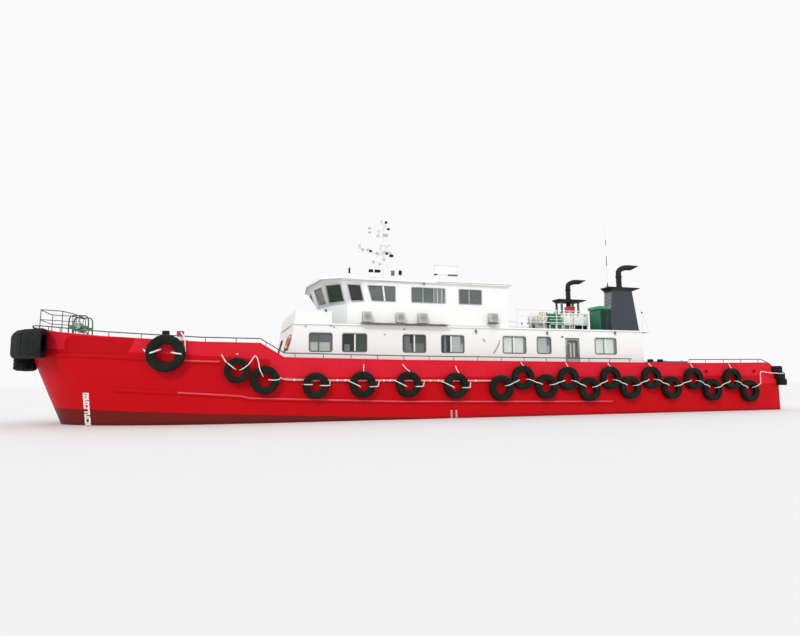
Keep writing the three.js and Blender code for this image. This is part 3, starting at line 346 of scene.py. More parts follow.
def buildWeather():
    # Painted steel out of doors: uneven colour, runs down the plates, spots of rust
    group, given, result = newGroup("weatheredPaint", {
        "Paint": (0.8, 0.8, 0.8, 1), "Runs": (0.3, 0.25, 0.2, 1), "Run Amount": 0.3,
        "Rust Amount": 0.3, "Fading": 0.15, "Roughness": 0.4}, ("Color", "Roughness", "Height"))
    broad = noise(group, place(group), 0.55, 5.0)
    runs = spread(group, noise(group, stretch(group, (5.0, 5.0, 0.45)), 1.0, 6.0, 0.6), 0.54, 0.74)
    runs = times(group, runs, given["Run Amount"])
    spots = spread(group, noise(group, place(group), 7.0, 9.0, 0.72), 0.66, 0.74)
    spots = times(group, spots, given["Rust Amount"])
    fading = times(group, spread(group, broad, 0.35, 0.7), given["Fading"])
    faded = blendColor(group, fading, given["Paint"], (1.3, 1.3, 1.3, 1), "MULTIPLY")
    shaded = blendColor(group, runs, faded, given["Runs"])
    rough = sums(group, "ADD", given["Roughness"], times(group, spots, 0.4))
    fine = times(group, noise(group, place(group), 26.0, 3.0), 0.25)
    fill(group, result, {
        "Color": blendColor(group, spots, shaded, (0.20, 0.07, 0.03, 1)),
        "Roughness": sums(group, "ADD", rough, spread(group, broad, 0.3, 0.7, -0.05, 0.09)),
        "Height": sums(group, "SUBTRACT", fine, times(group, spots, 0.6))})
    return group


def buildPlating():
    # Weld seams at a regular spacing and the slight waves between the frames
    group, given, result = newGroup(
        "steelPlating", {"Seam Length": 5.6, "Frame Space": 0.6, "Waves": 0.5}, ("Height",))
    along = axesOf(group)["X"]
    seam = sums(group, "PINGPONG", along, times(group, given["Seam Length"], 0.5))
    seam = spread(group, seam, 0.0, 0.03, 0.06, 0.0)
    turns = sums(group, "DIVIDE", times(group, along, 2 * math.pi), given["Frame Space"])
    frames = times(group, sums(group, "SINE", turns, 0.0), 0.25)
    uneven = noise(group, stretch(group, (0.8, 0.8, 1.6)), 1.0, 2.0)
    waves = times(group, sums(group, "ADD", frames, uneven), given["Waves"])
    fill(group, result, {"Height": sums(group, "ADD", waves, seam)})
    return group


def buildRubber():
    # Old rubber: dust and bloom on a dark ground, small cracks
    group, given, result = newGroup("oldRubber", {
        "Rubber": (0.02, 0.02, 0.02, 1), "Dust": (0.16, 0.15, 0.12, 1), "Dust Amount": 0.5},
        ("Color", "Roughness", "Height"))
    cloud = spread(group, noise(group, place(group), 2.6, 6.0, 0.65), 0.42, 0.72)
    dust = times(group, cloud, given["Dust Amount"])
    cracks = addNode(group, "ShaderNodeTexVoronoi", {"Vector": place(group), "Scale": 24.0},
        feature="DISTANCE_TO_EDGE").outputs["Distance"]
    cracks = spread(group, cracks, 0.0, 0.08, 0.0, 0.5)
    fill(group, result, {
        "Color": blendColor(group, dust, given["Rubber"], given["Dust"]),
        "Roughness": spread(group, cloud, 0.0, 1.0, 0.62, 0.9),
        "Height": sums(group, "ADD", cracks, noise(group, place(group), 60.0, 2.0))})
    return group


effects = {"weather": buildWeather(), "plating": buildPlating(), "rubber": buildRubber()}


def startMaterial(name="finish"):
    material = bpy.data.materials.new(name)
    material.use_nodes = True
    tree = material.node_tree
    return material, tree, tree.nodes["Principled BSDF"]


def applied(tree, name, inputs):
    node = addNode(tree, "ShaderNodeGroup", node_tree=effects[name])
    return fill(tree, node, inputs).outputs


def bumped(tree, height, distance):
    return addNode(tree, "ShaderNodeBump", {
        "Height": height, "Distance": distance, "Strength": 0.6}).outputs["Normal"]


def paint(color, roughness=0.4, runs=0.25, rust=0.3, runColor=(0.25, 0.2, 0.16), fading=0.04, coat=0.0,
        metallic=0.0, waves=0.0, specular=0.5):
    material, tree, shader = startMaterial()
    base = color(tree) if callable(color) else (*color, 1)
    wear = applied(tree, "weather", {"Paint": base, "Runs": (*runColor, 1), "Run Amount": runs,
        "Rust Amount": rust, "Fading": fading, "Roughness": roughness})
    height, bump = wear["Height"], 0.002
    if waves:
        plating = applied(tree, "plating", {"Waves": waves})
        height = sums(tree, "ADD", times(tree, height, 0.12), plating["Height"])
        bump = 0.008
    fill(tree, shader, {"Base Color": wear["Color"], "Roughness": wear["Roughness"], "Metallic": metallic,
        "Coat Weight": coat, "Specular IOR Level": specular, "Normal": bumped(tree, height, bump)})
    return material


hullColors = {
    "red": (0.51, 0.004, 0.008),
    "bulwark": (0.64, 0.014, 0.030),
    "antifouling": (0.15, 0.014, 0.012),
    "bandStartX": 1.5,          # the antifouling shows from here forward
    "bandRise": 0.0432,         # and climbs by this much a metre
    "darkeningTop": 0.16,
    "sternPatch": (-17.4, 1.46),    # behind this x and above this z the lighter red goes on
}


def hullBase(tree):
    # Bright red topsides over dull antifouling, darker towards the water
    axes = axesOf(tree)
    climb = times(tree, sums(tree, "SUBTRACT", axes["X"], hullColors["bandStartX"]), hullColors["bandRise"])
    wobble = spread(tree, noise(tree, place(tree), 1.4, 5.0), 0.0, 1.0, -0.03, 0.03)
    above = sums(tree, "SUBTRACT", axes["Z"], sums(tree, "ADD", sums(tree, "MAXIMUM", climb, 0.0), wobble))
    low = spread(tree, above, -0.008, 0.008, 1.0, 0.0)
    waterlineDarkening = spread(tree, sums(tree, "ADD", axes["Z"], wobble), 0.02, hullColors["darkeningTop"], 0.55, 0.0)
    sternX, sternZ = hullColors["sternPatch"]
    stern = times(tree, spread(tree, axes["X"], sternX - 0.02, sternX + 0.02, 1.0, 0.0),
        spread(tree, axes["Z"], sternZ - 0.02, sternZ + 0.02))
    color = blendColor(tree, stern, (*hullColors["red"], 1), (*hullColors["bulwark"], 1))
    color = blendColor(tree, low, color, (*hullColors["antifouling"], 1))
    return blendColor(tree, waterlineDarkening, color, (0.05, 0.012, 0.008, 1))


def rubber(color, dust, amount):
    material, tree, shader = startMaterial()
    old = applied(tree, "rubber", {"Rubber": (*color, 1), "Dust": (*dust, 1), "Dust Amount": amount})
    fill(tree, shader, {"Base Color": old["Color"], "Roughness": old["Roughness"],
        "Specular IOR Level": 0.12, "Normal": bumped(tree, old["Height"], 0.004)})
    return material


def fibre(dark, light, dirt):
    # Twisted fibre with patches of dirt
    material, tree, shader = startMaterial()
    threads = noise(tree, place(tree), 90.0, 3.0)
    grime = spread(tree, noise(tree, place(tree), 3.0, 5.0), 0.45, 0.75, 0.0, dirt)
    clean = blendColor(tree, threads, (*dark, 1), (*light, 1))
    fill(tree, shader, {"Base Color": blendColor(tree, grime, clean, (0.30, 0.28, 0.24, 1)),
        "Roughness": 0.9, "Normal": bumped(tree, threads, 0.002)})
    return material


def glassMaterial(color, alpha):
    # Tinted glass, dusty in patches
    material, tree, shader = startMaterial()
    dust = spread(tree, noise(tree, place(tree), 2.0, 4.0), 0.3, 0.8)
    tint = blendColor(tree, dust, (*color, 1), (*(c * 1.35 for c in color), 1))
    fill(tree, shader, {"Base Color": tint, "Roughness": spread(tree, dust, 0.0, 1.0, 0.06, 0.16),
        "Alpha": alpha, "Coat Weight": 0.3, "Specular IOR Level": 0.3})
    return material


def glowingClothMaterial():
    material, tree, shader = startMaterial("glowingCurtainCloth")
    weave = addNode(tree, "ShaderNodeTexWave", {"Vector": place(tree), "Scale": 60.0, "Distortion": 1.0})
    color = blendColor(tree, weave.outputs["Fac"], (0.74, 0.78, 0.75, 1), (0.90, 0.92, 0.89, 1))
    # The cloth also glows in its own colour: painted light that lets it show through the glass
    fill(tree, shader, {"Base Color": color, "Roughness": 0.9, "Emission Color": color,
        "Emission Strength": 0.7, "Normal": bumped(tree, weave.outputs["Fac"], 0.001)})
    return material


def lampGlass(color):
    material, tree, shader = startMaterial()
    ribs = addNode(tree, "ShaderNodeTexWave", {"Vector": place(tree), "Scale": 22.0}, bands_direction="Z")
    tint = blendColor(tree, ribs.outputs["Fac"], (*color, 1), (*(0.6 * c for c in color), 1))
    fill(tree, shader, {"Base Color": tint, "Roughness": 0.12, "Coat Weight": 0.8,
        "Normal": bumped(tree, ribs.outputs["Fac"], 0.003)})
    return material


redRuns = (0.22, 0.006, 0.008)
finishes = {
    "hull": paint(hullBase, 0.42, 0.18, 0.10, redRuns, 0.03, waves=0.45, specular=0.05),
    "bulwark": paint(hullColors["bulwark"], 0.45, 0.12, 0.08, redRuns, 0.03, waves=0.4,
                     specular=0.06),
    "namePatch": paint((0.45, 0.004, 0.008), 0.45, 0.12, 0.03, redRuns, 0.02, waves=0.4,
                       specular=0.05),
    "deckRed": paint((0.20, 0.045, 0.03), 0.75, 0.5, 0.7, (0.12, 0.07, 0.05)),
    "deckGreen": paint((0.05, 0.13, 0.09), 0.75, 0.5, 0.5, (0.10, 0.09, 0.07)),
    "house": paint((0.86, 0.87, 0.86), 0.42, 0.06, 0.03, (0.66, 0.66, 0.62), 0.0, waves=0.15),
    "trim": paint((0.86, 0.87, 0.86), 0.4, 0.08, 0.08, (0.55, 0.54, 0.50), 0.0),
    "faint": paint((0.80, 0.82, 0.81), 0.4, 0.2, 0.08, (0.55, 0.54, 0.50), 0.0),
    "white": paint((0.80, 0.81, 0.79), 0.4, 0.25, 0.25, (0.45, 0.40, 0.34), 0.0),
    "rail": paint((0.075, 0.105, 0.10), 0.45, 0.3, 0.35, (0.12, 0.10, 0.08), metallic=0.1),
    "frame": paint((0.12, 0.135, 0.13), 0.5, 0.2, 0.1, (0.08, 0.08, 0.08)),
    "frameLight": paint((0.46, 0.49, 0.48), 0.5, 0.2, 0.05, (0.3, 0.3, 0.3)),
    "green": paint((0.008, 0.14, 0.075), 0.42, 0.3, 0.2, (0.02, 0.05, 0.03)),
    "teal": paint((0.05, 0.24, 0.17), 0.5, 0.4, 0.15, (0.02, 0.10, 0.06)),
    "greenPale": paint((0.42, 0.60, 0.50), 0.5, 0.4, 0.1, (0.10, 0.30, 0.2)),
    "doorGrey": paint((0.36, 0.37, 0.33), 0.5, 0.3, 0.1, (0.2, 0.19, 0.16)),
    # A lighter red for the strip along the strakes' upper edges: a painted highlight
    "strakeHighlightRed": paint((0.66, 0.075, 0.085), 0.5, 0.3, 0.1, redRuns, specular=0.2),
    "greenLight": paint((0.03, 0.27, 0.15), 0.42, 0.25, 0.15, (0.02, 0.10, 0.06)),
    # A near-black green for the vent locker's body: painted shade on its sides, with mottled runs of its own
    "mottledShadedGreen": paint((0.006, 0.028, 0.020), 0.5, 0.9, 0.3, (0.03, 0.09, 0.06), specular=0.2),
    "slate": paint((0.046, 0.058, 0.066), 0.5, 0.3, 0.1, (0.03, 0.03, 0.035), specular=0.2),
    # A lighter slate for the funnel's forward slats: painted light on the face towards the bow
    "slateLitFace": paint((0.27, 0.31, 0.35), 0.5, 0.3, 0.1, (0.16, 0.17, 0.18)),
    "steelBlue": paint((0.09, 0.12, 0.15), 0.5, 0.3, 0.1, (0.06, 0.08, 0.10)),
    "black": paint((0.012, 0.013, 0.014), 0.5, 0.3, 0.2, (0.03, 0.027, 0.024), specular=0.12),
    "soot": paint((0.018, 0.017, 0.018), 0.6, 0.5, 0.4, (0.012, 0.011, 0.011), specular=0.2),
    "grey": paint((0.13, 0.145, 0.15), 0.5, 0.4, 0.3, (0.10, 0.09, 0.08)),
    "paleGrey": paint((0.50, 0.48, 0.44), 0.5, 0.4, 0.1, (0.3, 0.27, 0.24)),
    "brown": paint((0.21, 0.17, 0.15), 0.6, 0.6, 0.5, (0.12, 0.09, 0.07)),
    "cream": paint((0.88, 0.88, 0.84), 0.35, 0.1, 0.0, (0.6, 0.55, 0.42), coat=0.2),
    "raftEnd": paint((0.72, 0.66, 0.50), 0.45, 0.2, 0.0, (0.5, 0.42, 0.3)),
    "orange": paint((0.62, 0.14, 0.08), 0.55, 0.3, 0.0, (0.3, 0.08, 0.05), 0.1),
    "redGear": paint((0.60, 0.02, 0.03), 0.45, 0.25, 0.15, (0.2, 0.02, 0.02), specular=0.2),
    "pinkCap": paint((0.42, 0.04, 0.09), 0.5, 0.5, 0.2, (0.2, 0.02, 0.04)),
    "bronze": paint((0.42, 0.24, 0.07), 0.32, 0.3, 0.1, (0.10, 0.12, 0.06), metallic=0.9),
    "steel": paint((0.28, 0.29, 0.30), 0.4, 0.3, 0.5, (0.14, 0.08, 0.05), metallic=0.75),
    "antifouling": paint(hullColors["antifouling"], 0.6, 0.3, 0.3, (0.08, 0.03, 0.02)),
    "tyre": rubber((0.006, 0.009, 0.007), (0.024, 0.033, 0.022), 0.5),
    "fender": rubber((0.006, 0.008, 0.008), (0.034, 0.042, 0.036), 0.45),
    "rope": fibre((0.66, 0.70, 0.64), (0.90, 0.91, 0.86), 0.25),
    "pinkRope": fibre((0.62, 0.30, 0.28), (0.80, 0.48, 0.44), 0.3),
    "glassGrey": glassMaterial((0.17, 0.20, 0.19), 0.45),
    "glassDark": glassMaterial((0.030, 0.037, 0.034), 0.60),
    "glassGreen": glassMaterial((0.060, 0.082, 0.068), 0.65),
    "glassPale": glassMaterial((0.32, 0.36, 0.34), 0.38),
    "curtain": glowingClothMaterial(),
    "lampClear": lampGlass((0.75, 0.76, 0.70)),
}
for kind, material in finishes.items():
    material.name = kind
print("materials ready:", len(finishes))


# Hull form: height, half breadth, stem x, stern x, start of the bow curve, fullness of the bow
hullForm = {
    "levels": [
        (-1.90, 2.95, 15.00, -10.50, 6.5, 2.0), (-1.70, 3.45, 15.90, -11.30, 7.0, 2.0),
        (-1.35, 3.68, 16.65, -12.60, 7.6, 2.0), (-0.80, 3.75, 17.25, -14.70, 8.3, 2.05),
        (-0.38, 3.75, 17.54, -16.40, 8.7, 2.1), (-0.18, 3.75, 17.65, -18.86, 8.9, 2.1),
        (0.00, 3.75, 17.77, -18.86, 9.2, 2.1), (1.22, 3.75, 18.29, -18.86, 10.3, 2.25),
        (1.46, 3.75, 18.389, -18.86, 10.547, 2.285), (1.90, 3.75, 18.57, -18.86, 11.0, 2.35),
        (2.70, 3.75, 18.90, -18.86, 11.5, 2.4), (4.00, 3.75, 19.08, -18.86, 11.9, 2.5)],
    "sternCorners": [(-1.9, 0.15), (1.46, 0.15), (2.7, 0.74), (4.0, 0.74)],
    "sideCurve": 2 / 2.05,
    "mainDeckZ": 1.9,
    "breakX": 9.3,
    "deckRise": 0.5 / 9.7,      # forecastle deck, upwards per metre
    "deckBreakZ": 2.65,
    "bulwarkTop": [
        (-19.06, 2.15), (-18.86, 2.15), (-18.13, 2.585), (-13.33, 2.545), (-7.02, 2.565), (-1.43, 2.60),
        (3.56, 2.63), (8.725, 2.713), (9.726, 3.31), (12.13, 3.33), (14.03, 3.42), (15.84, 3.53),
            (17.20, 3.68),
        (18.54, 3.86), (19.30, 3.96)],
    "plate": 0.07,
    "skeg": [(-16.0, -1.9), (-15.85, -0.25), (-11.0, -0.25), (-11.0, -1.9)],
    "heights": [-1.9, -1.8, -1.7, -1.5, -1.35, -1.1, -0.8, -0.6, -0.38, -0.28, -0.18, -0.09, 0.0, 0.3, 0.6,
                0.9,
                1.22, 1.46, 1.68, 1.9],
}


def sideAt(x, z):
    half, stem, _, shoulder, fullness = tableAt(hullForm["levels"], z)
    if x <= shoulder:
        return half
    share = min((x - shoulder) / (stem - shoulder), 1.0)
    return half * max(math.cos(math.asin(share ** (fullness / 2))), 0.0) ** hullForm["sideCurve"]


def outlinePoint(column, z, grow=0.0):
    # Where a column of the plating stands at one height
    kind, share = column
    half, stem, stern, shoulder, fullness = tableAt(hullForm["levels"], z)
    corner = tableAt(hullForm["sternCorners"], z)[0] + grow
    angle = share * math.pi / 2
    if kind == "transom":
        return stern - grow, share * (half + grow - corner)
    if kind == "corner":
        return stern - grow + corner * (1 - math.cos(angle)), half + grow - corner * (1 - math.sin(angle))
    if kind == "side":
        return between(stern - grow + corner, shoulder, share), half + grow
    if kind == "at":
        return share, sideAt(share, z) + grow
    x = shoulder + (stem + grow - shoulder) * math.sin(angle) ** (2 / fullness)
    return x, (half + grow) * max(math.cos(angle), 0.0) ** hullForm["sideCurve"]


def bulwarkTopAt(x):
    return tableAt(hullForm["bulwarkTop"], x)[0]


def foredeckAt(x):
    return hullForm["deckBreakZ"] + hullForm["deckRise"] * (x - hullForm["breakX"])


def mainDeckAt(x):
    return hullForm["mainDeckZ"]


def bothSides(points):
    return points + [(x, -y, z) for x, y, z in points[::-1] if abs(y) > 1e-6]


def settledPoint(column, heightAt, grow=0.0):
    # A point of the column whose height depends on its place along the hull
    z = 2.4
    for _ in range(8):
        x, y = outlinePoint(column, z, grow)
        z = heightAt(x)
    return x, y, z


foreColumns = ([("at", x) for x in [9.3003, 9.5, 9.726] + [10.2 + 0.48 * i for i in range(15)]]
    + [("bow", 0.60 + 0.40 * i / 26) for i in range(27)])
strakes = {
    "hull": [[(-7.64, 0.675), (-1.73, 0.765), (3.59, 0.85), (10.10, 1.085), (10.31, 1.165), (12.07, 1.29),
              (15.36, 1.50)],
             [(-0.90, 1.75), (2.27, 1.785), (7.36, 1.835), (8.68, 1.899)]],
    "bow": [[(11.33, 2.59), (12.50, 2.62), (14.37, 2.73), (15.80, 2.84), (17.63, 2.92)]],
    "height": 0.13,
    "proud": 0.06,
    "highlightTo": 13.2,             # how far forward the painted highlight along the edge goes
    "section": [(-0.5, 0.0), (0.75, -0.08), (1.0, -0.25), (1.0, -0.85), (0.9, -1.0), (-0.5, -1.0)],
}


def addStrake(bm, line):
    # A rubbing bar with a sloped upper face and a flat underside
    first, last = line[0][0], line[-1][0]
    count = max(4, int((last - first) / 0.4))
    rings = []
    for i in range(count + 1):
        x = between(first, last, i / count)
        top = tableAt(line, x)[0]
        levels = [(out * strakes["proud"], top + drop * strakes["height"])
            for out, drop in strakes["section"]]
        rings.append([(x, sideAt(x, z) + out, z) for out, z in levels])
    addRings(bm, rings)
    # Painted highlight along its upper edge: a strip of lighter red
    highlightStrip = [[(x, y + 0.002, z) for x, y, z in ring[1:4]] for ring in rings if ring[0][0] < strakes["highlightTo"]]
    highlightStrip = [[a, b, tuple(Vector(b).lerp(Vector(c), 0.45))] for a, b, c in highlightStrip]
    addRings(bm, highlightStrip, 2, capped=False, looped=False)


def hullPieces():
    columns = ([("transom", i / 5) for i in range(5)] + [("corner", i / 6) for i in range(6)]
        + [("side", i / 40) for i in range(40)] + [("bow", i / 44) for i in range(45)])
    skin, fittings = bmesh.new(), bmesh.new()
    addRings(skin, [bothSides([(*outlinePoint(c, z), z) for c in columns]) for z in hullForm["heights"]])
    for line in strakes["hull"]:
        addStrake(fittings, line)
    addDrum(fittings, 0.13, -0.42, -0.12, 0.02, 24, move=turned((-17.6, 1.7, 0)))
    mirrorInto(fittings)
    addPlate(fittings, hullForm["skeg"], -0.06, 0.06, edge=0.01)
    finishHull("hullSkin", skin, fittings, mainDeckAt, "hull")

    skin, fittings = bmesh.new(), bmesh.new()
    rings = []
    for share in (0, 0.2, 0.4, 0.6, 0.8, 1.0):
        rings.append(bothSides([settledPoint(c, lambda x: between(1.9, foredeckAt(x), share))
            for c in foreColumns]))
    addRings(skin, rings)
    for line in strakes["bow"]:
        addStrake(fittings, line)
    mirrorInto(fittings)
    finishHull("forecastleSkin", skin, fittings, foredeckAt, "forecastle")


def joinInto(bm, other):
    mesh = bpy.data.meshes.new("passing")
    other.to_mesh(mesh)
    other.free()
    bm.from_mesh(mesh)
    bpy.data.meshes.remove(mesh)


def finishHull(name, skin, fittings, deckAt, node):
    joinInto(skin, fittings)
    for face in skin.faces:
        if all(abs(v.co.z - deckAt(v.co.x)) < 1e-4 for v in face.verts):
            face.material_index = 1
    makePiece(name, skin, ["hull", "deckRed", "strakeHighlightRed"], [node], sharp=34)


hawse = {
    "places": [-17.02, -13.705],
    "size": (0.24, 0.19),
    "drop": 0.43,       # middle of the hole below the bulwark's top edge
    "rim": 0.028,
}
bulwark = {
    "rowDrops": [0.0, 0.05, 0.15, 0.335, 0.525, 0.58],
    "sternX": -18.05,
    "capRadius": 0.045,
    "staySpace": 1.15,
}


def bulwarkRowZ(x, row, lowAt):
    top, rows = bulwarkTopAt(x), len(bulwark["rowDrops"])
    if row == rows:
        return lowAt(x)
    return top - min(bulwark["rowDrops"][row], (top - lowAt(x)) * (row + 0.5) / rows)


def bulwarkShape(columns, lowAt, mirrored):
    # Outer and inner faces of the plate on one grid, with the rope holes left open
    rows = len(bulwark["rowDrops"]) + 1
    bm = bmesh.new()
    grids = []
    for grow in (0.0, -hullForm["plate"]):
        grid = []
        for row in range(rows):
            line = [settledPoint(c, lambda x: bulwarkRowZ(x, row, lowAt), grow) for c in columns]
            grid.append([bm.verts.new(p) for p in (bothSides(line) if mirrored else line)])
        grids.append(grid)
    outer, inner = grids
    count = len(outer[0])

    def rib(row, i, otherRow, otherI):
        bm.faces.new((outer[row][i], outer[otherRow][otherI], inner[otherRow][otherI], inner[row][i]))

    for row in range(rows - 1):
        for i in range(count - 1):
            middle = (outer[row][i].co.x + outer[row][i + 1].co.x) / 2
            if row == 3 and not mirrored and any(abs(middle - x) < hawse["size"][0] / 2
                    for x in hawse["places"]):
                for k in (0, 1):
                    rib(row + k, i, row + k, i + 1)
                    rib(row, i + k, row + 1, i + k)
                continue
            for grid in grids:
                bm.faces.new((grid[row][i], grid[row][i + 1], grid[row + 1][i + 1], grid[row + 1][i]))
        for i in (0, count - 1):
            rib(row, i, row + 1, i)
    for i in range(count - 1):
        rib(0, i, 0, i + 1)
        rib(rows - 1, i, rows - 1, i + 1)
    cap = [(v.co + w.co) / 2 for v, w in zip(outer[0], inner[0])]
    addTube(bm, cap, bulwark["capRadius"], 10)
    return bm


def addHole(bm, x):
    # The rim of a rope hole and the dark roller housing behind it
    w, h = hawse["size"]
    z = bulwarkTopAt(x) - hawse["drop"]
    for y in (3.76, 3.67):
        path = [(x + a, y, z + b) for a, b in roundedLoop(-w / 2, w / 2, -h / 2, h / 2, h * 0.48, 5)]
        addTube(bm, path, hawse["rim"], 8, closed=True)
    addBox(bm, about(x, 0.20), (3.40, 3.62), about(z, 0.17), 0.02, 1)
    for rise in (-0.16, 0.16):
        addBox(bm, about(x, 0.20), (3.58, 3.685), about(z + rise, 0.01), 0.004, 1)


def addStays(bm, first, last, deckAt):
    # Brackets that hold the bulwark from inside
    x = first
    while x < last:
        deck, top = deckAt(x), bulwarkTopAt(x) - 0.08
        y = sideAt(x, (top + deck) / 2) - hullForm["plate"]
        outline = [(y, deck), (y, top), (y - 0.07, top), (y - 0.10, deck + 0.35), (y - 0.30, deck)]
        addPlate(bm, outline, x - 0.006, x + 0.006, "yz")
        x += bulwark["staySpace"]


def bulwarkPieces():
    half, sternX = hawse["size"][0] / 2, bulwark["sternX"]
    stations = [sternX + 0.0003, 8.725, 9.0, 9.2997] + [-17.75 + 0.53 * i for i in range(50)]
    stations = [x for x in stations if all(abs(x - hole) > half + 0.02 for hole in hawse["places"])]
    stations += [hole + side * half for hole in hawse["places"] for side in (-1, 1)]
    bm = bulwarkShape([("at", x) for x in sorted(stations)], mainDeckAt, False)
    for x in hawse["places"]:
        addHole(bm, x)
    addStays(bm, -17.5, 9.0, mainDeckAt)
    makePair("bulwarkSkin", bm, ["bulwark", "black"], "bulwark")
    aft = ([("at", sternX - 0.0003), ("at", sternX - 0.06)] + [("corner", 1 - i / 8) for i in range(9)]
        + [("transom", 1 - i / 5) for i in range(1, 6)])
    makePiece("bulwarkSkin_stern", bulwarkShape(aft, mainDeckAt, True), ["bulwark"],
        ["bulwark_stern"])
    stays = bmesh.new()
    addStays(stays, 10.0, 17.0, foredeckAt)
    addTube(stays, [(x, sideAt(x, 2.864) + 0.004, 2.864) for x in (10.60, 10.71)], 0.018, 8, 1)
    mirrorInto(stays)
    bm = bulwarkShape(foreColumns, foredeckAt, True)
    joinInto(bm, stays)
    makePiece("bulwarkSkin_bow", bm, ["bulwark", "rope"], ["bulwark_bow"])


# Bare darker panel on the bow where a name would be: its outline in x and z
namePatch = [(17.00, 3.61), (17.16, 3.57), (17.27, 3.42), (17.31, 3.23), (17.26, 3.04), (17.10, 2.915),
    (16.4, 2.90), (15.6, 2.88), (14.91, 2.863), (14.76, 3.12), (14.61, 3.49), (15.4, 3.525), (16.2, 3.56)]


def namePatchPieces():
    bm = bmesh.new()
    middle = Vector((15.95, 3.18))
    rings = []
    for k in range(9):
        flat = [middle.lerp(Vector(p), max(k / 8, 0.01)) for p in namePatch]
        rings.append([(p.x, sideAt(p.x, p.y) + 0.014, p.y) for p in flat])
    addRings(bm, rings, capped=False)
    makePair("namePatch", bm, ["namePatch"])


marks = {
    "draft": [(16.45 - 0.014 * k, 1.2 - 0.25 * k) for k in range(6)],
    "draftSize": 0.19,
    "load": [(x, 0.33 - 0.105 * k) for x in (1.10, 0.86) for k in range(5)],
    "loadSize": 0.07,
}
strokes = {
    "0": [[(0, 0), (0, 1), (0.6, 1), (0.6, 0), (0, 0)]],
    "2": [[(0, 1), (0.6, 1), (0.6, 0.5), (0, 0.5), (0, 0), (0.6, 0)]],
    "4": [[(0, 1), (0, 0.5), (0.6, 0.5)], [(0.6, 1), (0.6, 0)]],
    "6": [[(0.6, 1), (0, 1), (0, 0), (0.6, 0), (0.6, 0.5), (0, 0.5)]],
    "8": [[(0, 0), (0, 1), (0.6, 1), (0.6, 0), (0, 0)], [(0, 0.5), (0.6, 0.5)]],
}


def addDigit(bm, digit, x, z, size, width, side):
    # Welded strokes that stand proud of the plating
    def put(a, b, lift):
        px, pz = x - side * (a - 0.3) * size * 1.45, z + (b - 0.5) * size
        return px, side * (sideAt(px, pz) + lift), pz

    for line in strokes[digit]:
        for (a0, b0), (a1, b1) in zip(line, line[1:]):
            length = math.hypot(a1 - a0, b1 - b0)
            da, db = (a1 - a0) / length * width / 2, (b1 - b0) / length * width / 2
            corners = [(a0 - da + db, b0 - db - da), (a1 + da + db, b1 + db - da),
                (a1 + da - db, b1 + db + da), (a0 - da - db, b0 - db + da)]
            addRings(bm, [[put(a, b, lift) for a, b in corners] for lift in (-0.01, 0.004)])


def markPieces():
    for side, name in ((1, "port"), (-1, "starboard")):
        bm = bmesh.new()
        for kind, width in (("draft", 0.26), ("load", 0.3)):
            for k, (x, z) in enumerate(marks[kind]):
                addDigit(bm, "86420"[k % 5], x, z, marks[f"{kind}Size"], width, side)
        makePiece(f"hullMarks_{name}", bm, ["white"], sharp=20)


hullPieces()
bulwarkPieces()
namePatchPieces()
markPieces()
print("hull built")


# Fenders, tyres and the ropes that lash them

bowFender = {
    "z": 3.305,
    "standOff": 0.38,
    "endX": 18.06,      # both ends are cut square to the centreline
    "section": [(-0.42, -0.34), (-0.34, -0.49), (-0.26, -0.575), (0.0, -0.575), (0.23, -0.575), (0.33, -0.50),
                (0.395, -0.39), (0.395, 0.0), (0.395, 0.34), (0.33, 0.48), (0.23, 0.575), (0.0, 0.575),
                    (-0.26, 0.575),
                (-0.35, 0.48), (-0.42, 0.34), (-0.42, 0.0)],
    "boreShare": 0.62,
    "boreX": 18.5,
    "bands": [0.70, 0.80, 0.90, 0.985],
    "lump": (19.29, 0.33, 0.36, 2.24, 2.94),
}


def fenderBase(share):
    x, y = outlinePoint(("bow", min(share, 2 - share)), bowFender["z"], bowFender["standOff"])
    return Vector((x, y if share <= 1 else -y, bowFender["z"]))


def fenderPoint(share, out, rise):
    # Shares past 1 carry on round the other side
    along = (fenderBase(share + 0.006) - fenderBase(share - 0.006)).normalized()
    return fenderBase(share) + Vector((-along.y * out, along.x * out, rise))


def squareShare(out, x):
    low, high = 0.35, 1.0
    for _ in range(24):
        middle = (low + high) / 2
        if fenderPoint(middle, out, 0).x < x:
            low = middle
        else:
            high = middle
    return high


def fenderEnd(scale, x, side):
    points = []
    for out, rise in bowFender["section"]:
        point = fenderPoint(squareShare(out * scale, x), out * scale, rise * scale)
        points.append((x, point.y * side, point.z))
    return points


